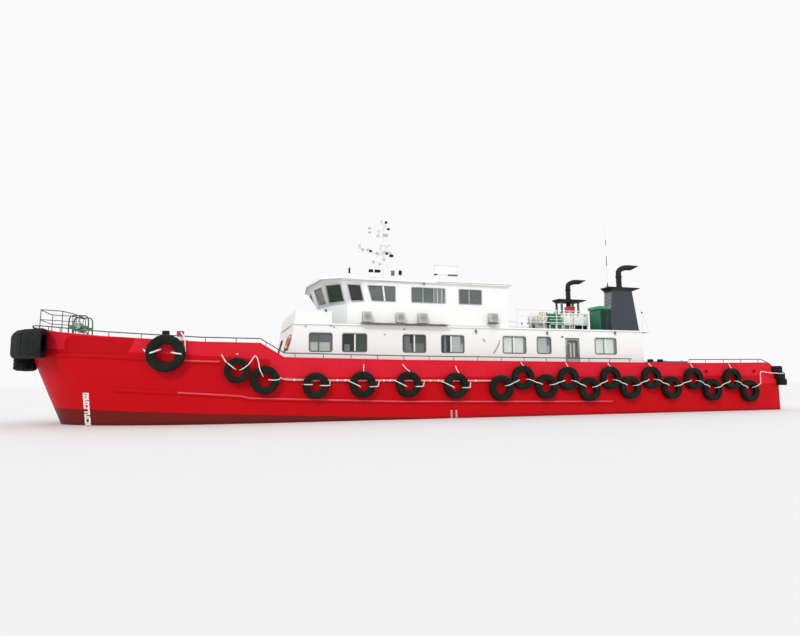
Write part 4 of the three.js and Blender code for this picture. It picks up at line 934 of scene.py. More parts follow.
def bowFenderPiece():
    f = bowFender
    starts = [squareShare(out, f["endX"]) for out, rise in f["section"]]
    steps = 72
    rings = []
    for i in range(steps + 1):
        groove = 0.012 if i % 6 == 0 and 0 < i < steps else 0.0
        ring = []
        for start, (out, rise) in zip(starts, f["section"]):
            share = between(start, 2 - start, i / steps)
            ring.append(fenderPoint(share, out - (groove if out > 0.2 else 0), rise * (1 - groove)))
        rings.append(ring)
    rings[0] = fenderEnd(1, f["endX"], 1)
    rings[-1] = fenderEnd(1, f["endX"], -1)
    bm = bmesh.new()
    addRings(bm, rings, capped=False)
    for side in (1, -1):
        bore = [fenderEnd(f["boreShare"], x, side) for x in (f["endX"], f["boreX"])]
        addRings(bm, [fenderEnd(1, f["endX"], side), bore[0]], capped=False)
        addRings(bm, bore, 1, capped=False)
        bm.faces.new([bm.verts.new(p) for p in bore[1]]).material_index = 1
    for place in f["bands"]:
        for middle in (place, 2 - place):
            band = [(out + (0.012 if out > 0 else 0), rise * 1.015) for out, rise in f["section"]]
            addRings(bm, [[fenderPoint(middle + step, out, rise) for out, rise in band]
                for step in (-0.005, 0.005)], 1)
    x, y, radius, low, high = f["lump"]
    for side in (-1, 1):
        profile = [(0.02, low), (radius * 0.6, low + 0.01), (radius * 0.85, low + 0.05)]
        for i in range(4):
            z = low + 0.10 + 0.145 * i
            profile += [(radius, z), (radius, z + 0.10), (radius * 0.94, z + 0.115),
                (radius * 0.94, z + 0.13)]
        addLathe(bm, profile + [(radius * 0.8, high), (0.02, high)], 26, 0, upright(x, y * side))
    makePiece("bowFenderRubber", bm, ["fender", "black"], ["bow_fender"], sharp=32)


sternFender = [(1.54, 0.30, -18.89, 3.79), (1.89, 0.30, -18.75, 3.82), (2.24, 0.29, -18.58, 3.83)]


def sternFenderPieces():
    bm = bmesh.new()
    for z, radius, x, y in sternFender:
        half = 0.185
        profile = [(radius * 0.3, -half), (radius * 0.8, -half), (radius * 0.95, -0.15), (radius, -0.10),
            (radius, -0.03), (radius * 0.965, -0.02), (radius * 0.965, 0.02), (radius, 0.03), (radius, 0.10),
            (radius * 0.93, 0.15), (radius * 0.78, half), (radius * 0.3, half)]
        addLathe(bm, profile, 30, 0, Matrix.Translation((x, y, z)))
    makePair("sternFenderTyres", bm, ["fender"], "stern_fender", sharp=36)


tyres = {
    "bow": (13.42, 2.864, 0.755),
    "row": [(10.66, 2.18, 0.53), (9.53, 1.79, 0.60), (7.40, 1.54, 0.565), (5.34, 1.57, 0.585),
            (3.23, 1.56, 0.585),
            (0.94, 1.49, 0.60), (-1.37, 1.36, 0.60), (-2.52, 1.84, 0.58), (-3.78, 1.41, 0.59),
                (-5.01, 1.78, 0.58),
            (-6.20, 1.26, 0.59), (-7.45, 1.80, 0.58), (-8.62, 1.32, 0.59), (-9.94, 1.81, 0.58),
                (-11.20, 1.29, 0.59),
            (-12.63, 1.75, 0.58), (-13.84, 1.16, 0.59), (-15.22, 1.72, 0.58), (-16.41, 1.08, 0.59)],
    "halfWidth": 0.15,
    "rope": 0.02,
}
# Ropes that don't run straight from tyre to tyre: x, z and how far out from the plating
ropeLines = {
    "rope": [
        [(10.70, 2.22, 0.20), (10.78, 2.265, 0.39), (10.98, 2.43, 0.40), (11.12, 2.56, 0.20),
            (11.275, 2.836, 0.03)],
        [(10.55, 2.20, 0.20), (10.41, 2.266, 0.40), (10.18, 2.46, 0.30), (9.93, 2.79, 0.10),
         (9.80, 2.53, 0.22),
         (9.77, 2.27, 0.40), (9.66, 2.02, 0.38), (9.60, 1.93, 0.20)],
        [(9.38, 1.80, 0.20), (9.20, 1.78, 0.40), (8.98, 1.80, 0.38), (8.87, 1.89, 0.12)],
        [(7.95, 1.60, 0.22), (7.88, 1.585, 0.38), (7.61, 1.585, 0.40), (7.55, 1.58, 0.2)],
        [(7.22, 1.54, 0.2), (7.15, 1.54, 0.40), (6.86, 1.54, 0.39), (6.80, 1.60, 0.2), (6.76, 1.74, 0.09)],
        [(3.18, 1.90, 0.25), (3.195, 2.12, 0.30), (3.30, 2.25, 0.12), (3.45, 2.461, 0.03)],
        [(5.33, 1.90, 0.25), (5.32, 2.13, 0.30), (5.28, 2.28, 0.12), (5.26, 2.454, 0.03)],
        [(0.86, 1.85, 0.25), (0.84, 2.07, 0.30), (0.855, 2.22, 0.12), (0.873, 2.385, 0.03)],
        [(-16.62, 1.24, 0.2), (-16.72, 1.32, 0.40), (-17.0, 1.46, 0.38), (-17.33, 1.55, 0.12),
         (-17.40, 1.8, 0.06),
         (-17.44, 2.10, 0.08), (-17.8, 2.07, 0.10), (-18.26, 2.022, 0.30), (-18.62, 2.0, 0.39),
             (-18.90, 1.99, 0.30)],
    ],
    # Round the middle tyres, from each tyre's middle
    "eyes": [
        [(0.72, 0.20, 0.1), (0.65, 0.16, 0.30), (0.19, -0.07, 0.40), (0.13, -0.09, 0.2)],
        [(-0.30, -0.10, 0.2), (-0.343, -0.097, 0.40), (-0.63, -0.08, 0.39), (-0.71, 0, 0.2),
            (-0.79, 0.14, 0.09)],
    ],
    "bow": [
        [(13.62, 3.02, 0.20), (13.72, 2.97, 0.40), (13.95, 2.88, 0.42), (14.12, 2.86, 0.20),
         (14.22, 2.99, 0.05),
         (14.28, 3.03, 0.03)],
        [(13.20, 2.90, 0.20), (13.10, 2.88, 0.41), (12.88, 2.84, 0.41), (12.72, 2.86, 0.20),
         (12.70, 3.10, 0.10),
         (12.72, 3.45, 0.12), (12.80, 3.62, 0.02), (12.88, 3.74, -0.20)],
    ],
    "pink": [
        [(8.87, 1.88, 0.10), (8.60, 1.80, 0.08), (7.36, 1.76, 0.085), (5.30, 1.745, 0.085),
         (3.30, 1.73, 0.085),
         (1.00, 1.71, 0.085), (-0.88, 1.69, 0.085), (-1.20, 1.62, 0.06)],
    ],
    "knots": [(8.30, 1.79), (6.45, 1.76), (6.10, 1.755), (4.35, 1.74), (4.05, 1.74), (2.15, 1.72),
              (1.75, 1.72),
              (-0.10, 1.70)],
}


def addTyreShape(bm, radius, halfWidth, move):
    size = radius / 0.6
    half = [(0.30, -0.57), (0.33, -0.77), (0.42, -0.97), (0.52, -1.0), (0.575, -0.9), (0.597, -0.74),
        (0.600, -0.38), (0.586, -0.34), (0.586, -0.22), (0.600, -0.18)]
    inside = [(0.33, 0.40), (0.45, 0.68), (0.54, 0.56), (0.556, 0.0), (0.54, -0.56), (0.45, -0.68),
        (0.33, -0.40)]
    profile = half + [(r, -w) for r, w in reversed(half)] + inside
    rings = []
    for k, (r, w) in enumerate(profile):
        isTread = 5 <= k < 15
        ring = []
        for i, (a, b) in enumerate(around(36)):
            reach = (r - (0.012 if isTread and i % 2 else 0)) * size
            ring.append((reach * a, reach * b, w * halfWidth))
        rings.append(ring)
    addRings(bm, rings, wrapped=True, move=move)


def tyreTurn(x, z, radius):
    return math.atan((sideAt(x + 0.05, z + radius) - sideAt(x - 0.05, z + radius)) / 0.1)


def tyreMiddle(x, z, radius):
    stand = (strakes["proud"] + tyres["halfWidth"]) / math.cos(tyreTurn(x, z, radius))
    return Vector((x, sideAt(x, z + radius) + stand, z))


def overRim(place, direction):
    # Out of the hole, over the sidewall and off the tread, in one direction of the side's plane
    x, z, radius = place
    turn = tyreTurn(x, z, radius)
    out = Vector((-math.sin(turn), math.cos(turn), 0))
    along = Vector((direction[0] * math.cos(turn), direction[0] * math.sin(turn), direction[1]))
    steps = [(0.40, -0.06), (0.50, 0.12), (0.66, 0.182), (0.90, 0.178), (1.05, 0.11)]
    return [tyreMiddle(x, z, radius) + along * radius * a + out * b for a, b in steps]


def layRope(bm, line, radius, mat):
    addRope(bm, [(x, sideAt(x, z) + out, z) for x, z, out in line], radius, mat)


def tyrePieces():
    row = tyres["row"]
    for label, places, node in (("sideTyres", row, "side_tyres"), ("bowTyre", [tyres["bow"]], "bow_tyre")):
        bm = bmesh.new()
        for x, z, radius in places:
            turn = tyreTurn(x, z, radius)
            axis = (-math.sin(turn), math.cos(turn), random.uniform(-0.03, 0.03))
            addTyreShape(bm, radius, tyres["halfWidth"] * random.uniform(0.94, 1.0),
                turned(tyreMiddle(x, z, radius), axis, random.uniform(0, 6)))
        makePair(label, bm, ["tyre"], node, sharp=50)
    bm = bmesh.new()
    for first, second in zip(row[6:], row[7:]):
        direction = Vector((second[0] - first[0], second[1] - first[1])).normalized()
        addRope(bm, overRim(first, direction) + overRim(second, -direction)[::-1], tyres["rope"])
    for x, z, radius in row[7::2]:
        edgeZ = bulwarkTopAt(x) - 0.02
        layRope(bm, [(x - 0.03, z + radius - 0.06, 0.30), (x - 0.02, z + radius + 0.03, 0.16),
            (x, edgeZ, 0.05)], tyres["rope"], 0)
    for line in ropeLines["rope"]:
        layRope(bm, line, tyres["rope"], 0)
    for x, z, _ in row[3:6]:
        for line in ropeLines["eyes"]:
            layRope(bm, [(x + a, z + b, out) for a, b, out in line], tyres["rope"], 0)
    for line in ropeLines["bow"]:
        layRope(bm, line, 0.031, 0)
    for line in ropeLines["pink"]:
        layRope(bm, line, 0.034, 1)
    for x, z in ropeLines["knots"]:
        addBall(bm, 0.045, (x, sideAt(x, z) + 0.09, z), 1.2)
    makePair("tyreRopes", bm, ["rope", "pinkRope"], sharp=60)


bowFenderPiece()
sternFenderPieces()
tyrePieces()
print("fenders and tyres built")


# Handrails

rails = {
    "radius": 0.024, "lift": 0.22, "inset": 0.035, "postRadius": 0.016,
    "firstPostX": -17.41, "postSpace": 1.2225, "postCount": 28,
    "gap": (-12.64, -8.85),       # a way out over the side
    "knots": [-17.62, -13.33, -7.02, -1.43, 3.56, 8.725, 9.726, 12.13, 13.1, 14.03, 14.9, 15.6, 16.2, 16.7],
    "bowKnots": [16.95, 17.5, 18.0, 18.45, 18.8],
}


def railPoint(x):
    knots = [(k, sideAt(k, 3.0) - rails["inset"], bulwarkTopAt(k) + rails["lift"]) for k in rails["knots"]]
    return Vector((x, *tableAt(knots, x)))


def addPost(bm, foot, top, radius):
    addTube(bm, [foot, top], radius)
    addTorus(bm, radius * 1.15, radius * 0.35, turned(foot), 12, 6)


def mirroredPoint(p):
    return Vector((p[0], -p[1], p[2]))


def railPieces():
    bm = bmesh.new()
    low, high = rails["gap"]
    tail = Vector((-18.11, railPoint(-17.6).y, bulwarkTopAt(-18.11) + 0.025))
    runs = [[tail] + [railPoint(x) for x in rails["knots"] if x < low] + [railPoint(low)],
        [railPoint(high - 0.12)] + [railPoint(x) for x in rails["knots"] if x > high]]
    for run in runs:
        addTube(bm, run, rails["radius"], 12)
    posts = [rails["firstPostX"] + i * rails["postSpace"] for i in range(rails["postCount"])]
    for x in [x for x in posts if x < low - 0.3 or x > high + 0.3] + [low, high]:
        top = railPoint(x)
        addPost(bm, Vector((top.x, top.y, bulwarkTopAt(x) + 0.03)), top, rails["postRadius"])
    makePair("bulwarkHandrail", bm, ["rail"], "bulwark_rail")

    bm = bmesh.new()
    half = [Vector((x, sideAt(x, 3.7) - rails["inset"], bulwarkTopAt(x) + rails["lift"]))
        for x in rails["bowKnots"]]
    path = half + [Vector((19.05, 0, bulwarkTopAt(18.9) + rails["lift"]))] + [mirroredPoint(p)
        for p in half[::-1]]
    addTube(bm, smoothPath(path, 0.15), rails["radius"], 12)
    for p in path:
        addPost(bm, Vector((p.x, p.y, bulwarkTopAt(p.x) + 0.03)), p, rails["postRadius"])
    makePiece("bowHandrail", bm, ["rail"], ["bow_rail"])


pulpit = {"half": 1.0, "posts": [(18.616, 4.81, 4.39), (17.763, 4.77, 4.35), (17.232, 4.64, 4.32)]}


def pulpitPiece():
    bm = bmesh.new()
    for level, radius in ((1, 0.020), (2, 0.017)):
        run = [Vector((post[0], pulpit["half"], post[level])) for post in reversed(pulpit["posts"])]
        corner = run.pop()
        port = run + [corner - Vector((0.12, 0, 0.005)), corner - Vector((0.035, 0.03, 0)),
            corner - Vector((0, 0.13, 0))]
        addTube(bm, port + [mirroredPoint(p) for p in port[::-1]], radius, 12)
    for x, top, _ in pulpit["posts"]:
        for side in (-1, 1):
            foot = Vector((x, side * pulpit["half"], foredeckAt(x)))
            addPost(bm, foot, Vector((x - (0.04 if x > 18.5 else 0), side * pulpit["half"], top - 0.005)),
                0.017)
            addBox(bm, about(x, 0.07), about(foot.y, 0.07), (foot.z - 0.01, foot.z + 0.02), 0.004)
    makePiece("bowPulpit", bm, ["rail"], ["bow_pulpit"])


# Anchor windlass

windlass = {"x": 17.23, "shaftZ": 4.15, "half": 0.48, "foot": foredeckAt(17.23), "tube": 0.028}


def windlassPieces():
    w = windlass
    x, foot, half, z = w["x"], w["foot"], w["half"], w["shaftZ"]
    bm = bmesh.new()
    addBox(bm, about(x, 0.52), (-half - 0.1, half + 0.1), (foot - 0.05, foot + 0.08), 0.02)
    arch = [(0.39, foot + 0.06), (0.385, 4.30), (0.37, 4.51), (0.33, 4.60), (0.26, 4.65)]
    for side in (-1, 1):
        y = side * half
        hoop = [(x + a, y, b) for a, b in arch] + [(x - a, y, b) for a, b in arch[::-1]]
        addTube(bm, hoop, w["tube"], 12)
        addBox(bm, about(x, 0.38), about(y, 0.025), about(z, 0.06), 0.01, 1)
        bearing = athwart((x, y, z))
        addLathe(bm, [(0.05, -0.055), (0.095, -0.05), (0.105, -0.03), (0.105, 0.03), (0.095, 0.05),
            (0.05, 0.055)], 22, 0, bearing, wrapped=True)
        for lean in (-1, 1):
            addTube(bm, [(x + lean * 0.37, y, foot + 0.5), (x + lean * 0.09, y, z - 0.05)], 0.018, 8, 1)
    addTube(bm, [(x, -half, 4.65), (x, half, 4.65)], w["tube"], 12)
    # Hand brake: a screw with a wheel beside the frame
    hub = Vector((x - 0.02, half + 0.09, 4.40))
    addTube(bm, [hub - Vector((0, 0.30, 0)), hub + Vector((0, 0.03, 0))], 0.018, 10)
    addTube(bm, [hub - Vector((0, 0.12, 0)), (x - 0.02, half, 4.65)], 0.014, 8)
    addTorus(bm, 0.19, 0.012, athwart(hub), 28, 8)
    for a, b in around(6, 0.19)[:3]:
        spoke = Vector((a, 0, b))
        addTube(bm, [hub - spoke, hub + spoke], 0.008, 6)
    makePiece("windlassFrameGreen", bm, ["green", "teal"], ["windlass_frame"])

    bm = bmesh.new()
    axle = athwart((x, 0, z))
    addDrum(bm, 0.0445, -half - 0.165, half + 0.165, 0.006, 18, 0, axle)
    addDrum(bm, 0.12, -0.28, 0.28, 0.01, 28, 0, axle)
    for side in (-1, 1):
        addDrum(bm, 0.205, -0.025, 0.025, 0.008, 32, 0, athwart((x, side * 0.29, z)))
        head = turned((x, side * (half + 0.13), z), (0, side, 0))
        addLathe(bm, [(0.05, -0.08), (0.098, -0.075), (0.082, -0.05), (0.075, 0.0), (0.082, 0.05),
            (0.10, 0.07), (0.10, 0.078), (0.04, 0.08)], 24, 0, head)
        for a, b in around(6, 0.165):
            addDrum(bm, 0.014, -0.028, 0.028, 0.003, 8, 1, athwart((x + a, side * 0.29, z + b)))
    for turn in range(9):
        addTorus(bm, 0.135, 0.022, turned((x, -0.21 + turn * 0.052, z), (0.04, 1, 0.02)), 30, 8, 1)
    makePiece("windlassDrumGreen", bm, ["greenPale", "white"], ["windlass_drum"],
        "windlass_drum")


# Bollards: place, height, post spacing and the colours of the after and forward caps

bollards = {
    "forward": {"x": 13.215, "y": 2.95, "height": 0.955, "space": 0.285, "caps": (3, 0), "posts": (2, 0)},
    "aft": {"x": -11.0, "y": 3.08, "height": 0.85, "space": 0.32, "caps": (0, 0), "posts": (0, 0)},
}


def bollardPieces(kind, deckAt):
    b = bollards[kind]
    x, y, height, deck = b["x"], b["y"], b["height"], deckAt(b["x"])
    slope = deckAt(x + 0.5) - deckAt(x - 0.5)
    bm = bmesh.new()
    foot = [(x + end * 0.52, deck + end * 0.52 * slope + 0.0005) for end in (-1, 1)]
    addPlate(bm, foot + [(px, pz + 0.06) for px, pz in foot[::-1]], y - 0.17, y + 0.17, edge=0.008)
    for end, cap, post in zip((-1, 1), b["caps"], b["posts"]):
        move = turned((x + end * b["space"], y, deck))
        addLathe(bm, [(0.132, 0.04), (0.12, 0.06), (0.12, height - 0.01)], 28, post, move)
        addLathe(bm, [(0.12, height - 0.18), (0.146, height - 0.17), (0.15, height + 0.03),
            (0.10, height + 0.045)], 28, cap, move)
    addDrum(bm, 0.045, -0.59, 0.59, 0.012, 20, 0, turned((x, y, deck + height * 0.6), (1, 0, 0)))
    for turn in range(4):
        addTorus(bm, 0.146, 0.026, turned((x + b["space"], y, deck + 0.16 + turn * 0.052), (0.02, 0.03, 1)),
            26, 8, 1)
    makePair(f"bollard{kind.capitalize()}", bm, ["black", "rope", "white", "pinkCap"],
        f"bitts_{kind}")


# Aft hatch

hatch = {"x": (-15.30, -13.30), "half": 0.75, "topZ": 2.70, "lid": 0.09, "wall": 0.05, "lug": 0.45}


def hatchPieces():
    h = hatch
    (x0, x1), half, top = h["x"], h["half"], h["topZ"]
    bm = bmesh.new()
    rings = []
    for inset, z in ((0, top - 0.001), (0, 1.9005), (h["wall"], 1.9005), (h["wall"], top - 0.001)):
        loop = roundedLoop(x0 + inset, x1 - inset, -half + inset, half - inset, 0.06, 3)
        rings.append([(x, y, z) for x, y in loop])
    addRings(bm, rings, wrapped=True)
    for side in (-1, 1):
        for i in range(4):
            x = x0 + 0.25 + i * 0.5
            addPlate(bm, [(side * half, 1.9), (side * (half + 0.13), 1.9), (side * half, 2.62)], x - 0.006,
                x + 0.006, "yz")
        lug = side * h["lug"] - 0.04
        addBox(bm, (x1 - 0.005, x1 + 0.08), about(lug, 0.02), (2.58, 2.71), 0.006)
        addDrum(bm, 0.022, -0.02, 0.02, 0.004, 14, 0, athwart((x1 + 0.06, lug, 2.73)))
    makePiece("hatchCoamingRed", bm, ["redGear"], ["hatch_coaming"])

    bm = bmesh.new()
    addBox(bm, (x0 - 0.04, x1 + 0.01), (-half - 0.04, half + 0.04), (top + 0.001, top + h["lid"]), 0.018,
        steps=3)
    for i in range(3):
        x = x0 + 0.4 + i * 0.6
        addBox(bm, about(x, 0.03), (-half + 0.05, half - 0.05), (top + 0.08, top + 0.094), 0.004)
    for side in (-1, 1):
        strap = side * h["lug"] + 0.001
        addBox(bm, (x1 - 0.02, x1 + 0.06), about(strap, 0.019), (2.722, 2.758), 0.005)
        addDrum(bm, 0.022, -0.0195, 0.0195, 0.004, 14, 0, athwart((x1 + 0.06, strap, 2.73)))
        for x in (x0 + 0.35, x1 - 0.45):
            y = side * (half - 0.03)
            addTube(bm, smoothPath([(x - 0.09, y, 2.79), (x - 0.07, y, 2.83), (x + 0.07, y, 2.83),
                (x + 0.09, y, 2.79)], 0.03), 0.009, 8)
    makePiece("hatchLidDark", bm, ["rail"], ["hatch_lid"], "hatch_lid")


railPieces()
pulpitPiece()
windlassPieces()
bollardPieces("forward", foredeckAt)
bollardPieces("aft", mainDeckAt)
hatchPieces()
print("rails and deck gear built")


# Windows, doors and walls of the deckhouse and the wheelhouse

house = {
    "wallY": 2.80, "curtainY": 2.63, "aftX": -10.5, "upperAftX": -2.45,
    "front": [(1.90, 8.75), (2.89, 8.49), (3.78, 8.25), (4.25, 8.19)],
    "sill": (3.07, 3.88),
    "frontWindows": (1.35, 0.45, 3.12, 3.80),       # middle and half width across, sill and head
    "foot": [(6.71, 0.0), (6.32, 1.20), (5.70, 2.38), (4.75, 2.80), (-2.45, 2.80)],
    "crown": [(7.12, 0.0), (6.83, 2.40), (6.11, 2.93), (5.02, 2.80), (-2.45, 2.80)],
    "rakeFrom": 5.30, "crownZ": 6.40,
    "upperSill": (5.43, 6.17),
    "aftPane": (1.70, 0.50),
}
# Edges from aft to forward with the mullions between, their colour, then the glass of each leaf
lowerWindows = [
    ((6.49, 7.08, 7.51), "dark", ("grey", "grey")),
    ((4.87, 5.42, 6.00), "light", ("green", "dark")),
    ((1.98, 2.54, 3.10), "light", ("green", "dark")),
    ((0.00, 0.67, 1.16), "light", ("grey", "dark")),
    ((-3.38, -2.72, -2.12), "light", ("pale", "pale")),
    ((-4.82, -4.04), "dark", ("grey",)),
    ((-8.77, -8.12, -7.47), "light", ("pale", "pale")),
]
# Curtains behind them: window number, start, end, top and foot as shares of the window's height, folds
curtains = [
    (0, 6.55, 7.06, 0.52, 0.03, 5), (0, 7.10, 7.46, 0.52, 0.03, 4), (1, 5.62, 5.88, 0.42, 0.04, 3),
    (2, 2.72, 2.98, 0.95, 0.04, 3), (3, 0.10, 0.60, 0.97, 0.03, 6), (3, 0.84, 0.97, 0.97, 0.03, 2),
    (4, -3.33, -2.78, 0.97, 0.03, 7), (4, -2.68, -2.17, 0.97, 0.03, 7), (5, -4.68, -4.08, 0.97, 0.03, 7),
    (6, -8.72, -8.16, 0.97, 0.03, 7), (6, -8.08, -7.52, 0.97, 0.03, 7),
]
upperWindows = [
    ((3.46, 3.98, 4.62), "light", ("grey", "grey"), 0.21),
    ((0.93, 1.52, 2.08, 2.67), "dark", ("pale", "grey", "grey"), 0),
    ((-1.01, -0.33, 0.22), "dark", ("grey", "grey"), 0),
]
nosePanes = [(0, 0.25, 0.83, "pale"), (1, 0.05, 0.89, "green"), (2, 0.22, 0.80, "dark")]
glassKinds = ["grey", "dark", "green", "pale"]


def quadPlace(corners, inside):
    # Places points across, up and out from a four-sided opening, in metres
    a, b, c, d = (Vector(p) for p in corners)
    width, height = (b - a).length, (d - a).length
    out = (b - a).cross(d - a).normalized()
    if out.dot(a - Vector(inside)) < 0:
        out = -out

    def put(x, y, z):
        return tuple(a.lerp(b, x / width).lerp(d.lerp(c, x / width), y / height) + out * z)

    return put, width, height


def addBar(bm, put, low, high, mat=0, edge=0.003):
    (x0, y0, z0), (x1, y1, z1) = low, high
    rings = []
    for z, inset in ((z0, edge), (z0 + edge, 0), (z1 - edge, 0), (z1, edge)):
        rings.append([put(x, y, z) for x, y in rectangle(x0 + inset, x1 - inset, y0 + inset, y1 - inset)])
    addRings(bm, rings, mat)


def addWindow(frames, glass, corners, inside, kinds=("grey",), splits=(), mullion="dark", corner=0.085,
        lip=0.032):
    # A lip round the opening, then fixed and sliding leaves with a bar between them
    put, w, h = quadPlace(corners, inside)

    def ring(margin, depth):
        loop = roundedLoop(-margin, w + margin, -margin, h + margin, max(corner + margin, 0.01), 5)
        return [put(x, y, depth) for x, y in loop]

    addRings(frames, [ring(lip, -0.003), ring(lip, 0.010), ring(lip - 0.008, 0.016), ring(-0.012, 0.016),
        ring(-0.020, 0.008), ring(-0.020, -0.060)], 0, wrapped=True)
    edges = [0.015] + list(splits) + [w - 0.015]
    for k, (x0, x1) in enumerate(zip(edges, edges[1:])):
        depth = -0.030 - 0.018 * (k % 2)
        loop = roundedLoop(x0 - 0.01 * (k > 0), x1, 0.015, h - 0.015, 0.02 if splits else corner * 0.7, 4)
        addRings(glass, [[put(x, y, z) for x, y in loop] for z in about(depth, 0.003)],
            glassKinds.index(kinds[k]))
        if k:
            half = 0.032 if mullion == "light" else 0.016
            addBar(frames, put, (x0 - half, 0.015, -0.055), (x0 + half, h - 0.015, 0.006),
                1 if mullion == "light" else 0)
    return put, w, h


def sideQuad(x0, x1, z0, z1, slant=0.0):
    y = house["wallY"]
    return (x0, y, z0), (x1, y, z0), (x1 + slant, y, z1), (x0, y, z1)


def acrossQuad(xAt, middle, half, z0, z1):
    return [(xAt(z), middle + side * half, z) for side, z in rectangle(-1, 1, z0, z1)]


def noseCorner(k, share, z):
    low = Vector(house["foot"][k]).lerp(Vector(house["foot"][k + 1]), share)
    high = Vector(house["crown"][k]).lerp(Vector(house["crown"][k + 1]), share)
    rake = (z - house["rakeFrom"]) / (house["crownZ"] - house["rakeFrom"])
    point = low.lerp(high, max(rake, 0))
    return point.x, point.y, z


def frontX(z):
    return tableAt(house["front"], z)[0]


def addCurtain(name, x0, x1, z0, z1, folds):
    # One hung curtain: even folds that open a little towards the hem
    y = house["curtainY"]
    count = folds * 8
    for side, label in ((1, "port"), (-1, "starboard")):
        bm = bmesh.new()
        rows = []
        for k in range(5):
            deep = 0.012 + 0.004 * k
            rows.append([(between(x0, x1, i / count), side * (y + deep * math.sin(i * math.pi / 4)),
                between(z1, z0, k / 4)) for i in range(count + 1)])
        addRings(bm, rows, capped=False, looped=False)
        piece = makePiece(f"{name}_{label}", bm, ["curtain"], sharp=180)


def windowPieces():
    lower, upper, lowerGlass, upperGlass = (bmesh.new() for _ in range(4))
    z0, z1 = house["sill"]
    u0, u1 = house["upperSill"]
    inside = (0, 0, 3.4)
    for (first, *splits, last), mullion, kinds in lowerWindows:
        addWindow(lower, lowerGlass, sideQuad(first, last, z0, z1), inside, kinds,
            [x - first for x in splits], mullion)
    for k, (window, x0, x1, top, foot, folds) in enumerate(curtains):
        addCurtain(f"curtain{k + 1}", x0, x1, between(z0, z1, foot), between(z0, z1, top), folds)
    for (first, *splits, last), mullion, kinds, slant in upperWindows:
        addWindow(upper, upperGlass, sideQuad(first, last, u0, u1, slant), inside, kinds,
            [x - first for x in splits], mullion, 0.05, 0.022)
    for x in (1.10, 1.33):
        addBox(upper, about(x, 0.025), (2.762, 2.768), (u0 + 0.03, u1 - 0.04), 0.002, 1)
    for k, start, end, kind in nosePanes:
        corners = [noseCorner(k, share, z) for share, z in rectangle(start, end, u0, u1)]
        addWindow(upper, upperGlass, corners, inside, (kind,), corner=0.05, lip=0.022)
    middle, half, f0, f1 = house["frontWindows"]
    addWindow(lower, lowerGlass, acrossQuad(frontX, middle, half, f0, f1), inside, ("dark",))
    middle, half = house["aftPane"]
    addWindow(upper, upperGlass, acrossQuad(lambda z: house["upperAftX"], middle, half, u0, u1), inside,
        ("grey", "green"), [half], "dark", 0.05)
    for bm in (lower, upper, lowerGlass, upperGlass):
        mirrorInto(bm)
    panes = ["glassGrey", "glassDark", "glassGreen", "glassPale"]
    makePiece("deckhouseWindowFrames", lower, ["frame", "trim"], sharp=30)
    makePiece("wheelhouseWindowFrames", upper, ["frameLight", "trim"], sharp=30)
    makePiece("deckhouseGlass", lowerGlass, panes, sharp=30)
    makePiece("wheelhouseGlass", upperGlass, panes, sharp=30)


# Doors: the side they face along x or y, and the height of the glazed light
doors = {
    "side_door_port": ("y", 1, 2.85, 3.74), "side_door_starboard": ("y", -1, 2.85, 3.74),
    "aft_door": ("x", -1, 3.25, 3.70), "upper_door": ("x", -1, 5.43, 6.06),
}


def doorPieces():
    # Each leaf gets a stiffened rim, a glazed light, a lever handle and its hinge knuckles
    for node, (axis, side, paneLow, paneHigh) in doors.items():
        low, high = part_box(node)
        if axis == "y":
            spots = [(x, side * house["wallY"]) for x in (low.x, high.x)]
        else:
            face = house["aftX" if node == "aft_door" else "upperAftX"]
            spots = [(face, low.y), (face, high.y)]
        corners = [(*spots[0], low.z), (*spots[1], low.z), (*spots[1], high.z), (*spots[0], high.z)]
        inside = (10 if axis == "x" else 0, 0, 3)
        put, w, h = quadPlace(corners, inside)
        metal, glass = bmesh.new(), bmesh.new()
        light = [put(x, y - low.z, 0) for x, y in rectangle(0.12, w - 0.12, paneLow, paneHigh)]
        addWindow(metal, glass, light, inside, corner=0.07)
        for x in (w * 0.38, w * 0.62):
            # Pale blind behind the light
            addBar(metal, put, (x - 0.05, paneLow - low.z + 0.03, -0.026),
                (x + 0.05, paneHigh - low.z - 0.14, -0.020), 2)
        for x0, x1, y0, y1 in ((0.015, w - 0.015, 0.015, 0.045), (0.015, 0.045, 0.045, h - 0.045),
                (w - 0.045, w - 0.015, 0.045, h - 0.045)):
            addBar(metal, put, (x0, y0, -0.002), (x1, y1, 0.008))
        addBar(metal, put, (0.015, h - 0.065, -0.002), (w - 0.015, h - 0.015, 0.010))
        for x0, x1 in ((0.10, w / 2 - 0.02), (w / 2 + 0.02, w - 0.10)):
            for k in range(6):
                x = between(x0, x1, k / 5)
                addBar(metal, put, (x - 0.012, 0.14, -0.002), (x + 0.012, paneLow - low.z - 0.12, 0.008), 2)
        addBar(metal, put, (0.053, h * 0.44, -0.002), (0.097, h * 0.56, 0.014))
        addBar(metal, put, (0.063, h * 0.50, 0.012), (0.087, h * 0.52, 0.048))
        addBar(metal, put, (0.063, h * 0.50, 0.040), (0.195, h * 0.52, 0.056), edge=0.006)
        for level in (0.12, 0.5, 0.88):
            addBar(metal, put, (w - 0.15, h * level - 0.022, -0.002), (w - 0.004, h * level + 0.022, 0.012))
        makePiece(f"{node}Fittings", metal, ["frame", "trim", "paleGrey"], body=node, sharp=30)
        makePiece(f"{node}Glass", glass, ["glassGrey"], body=node, sharp=30)


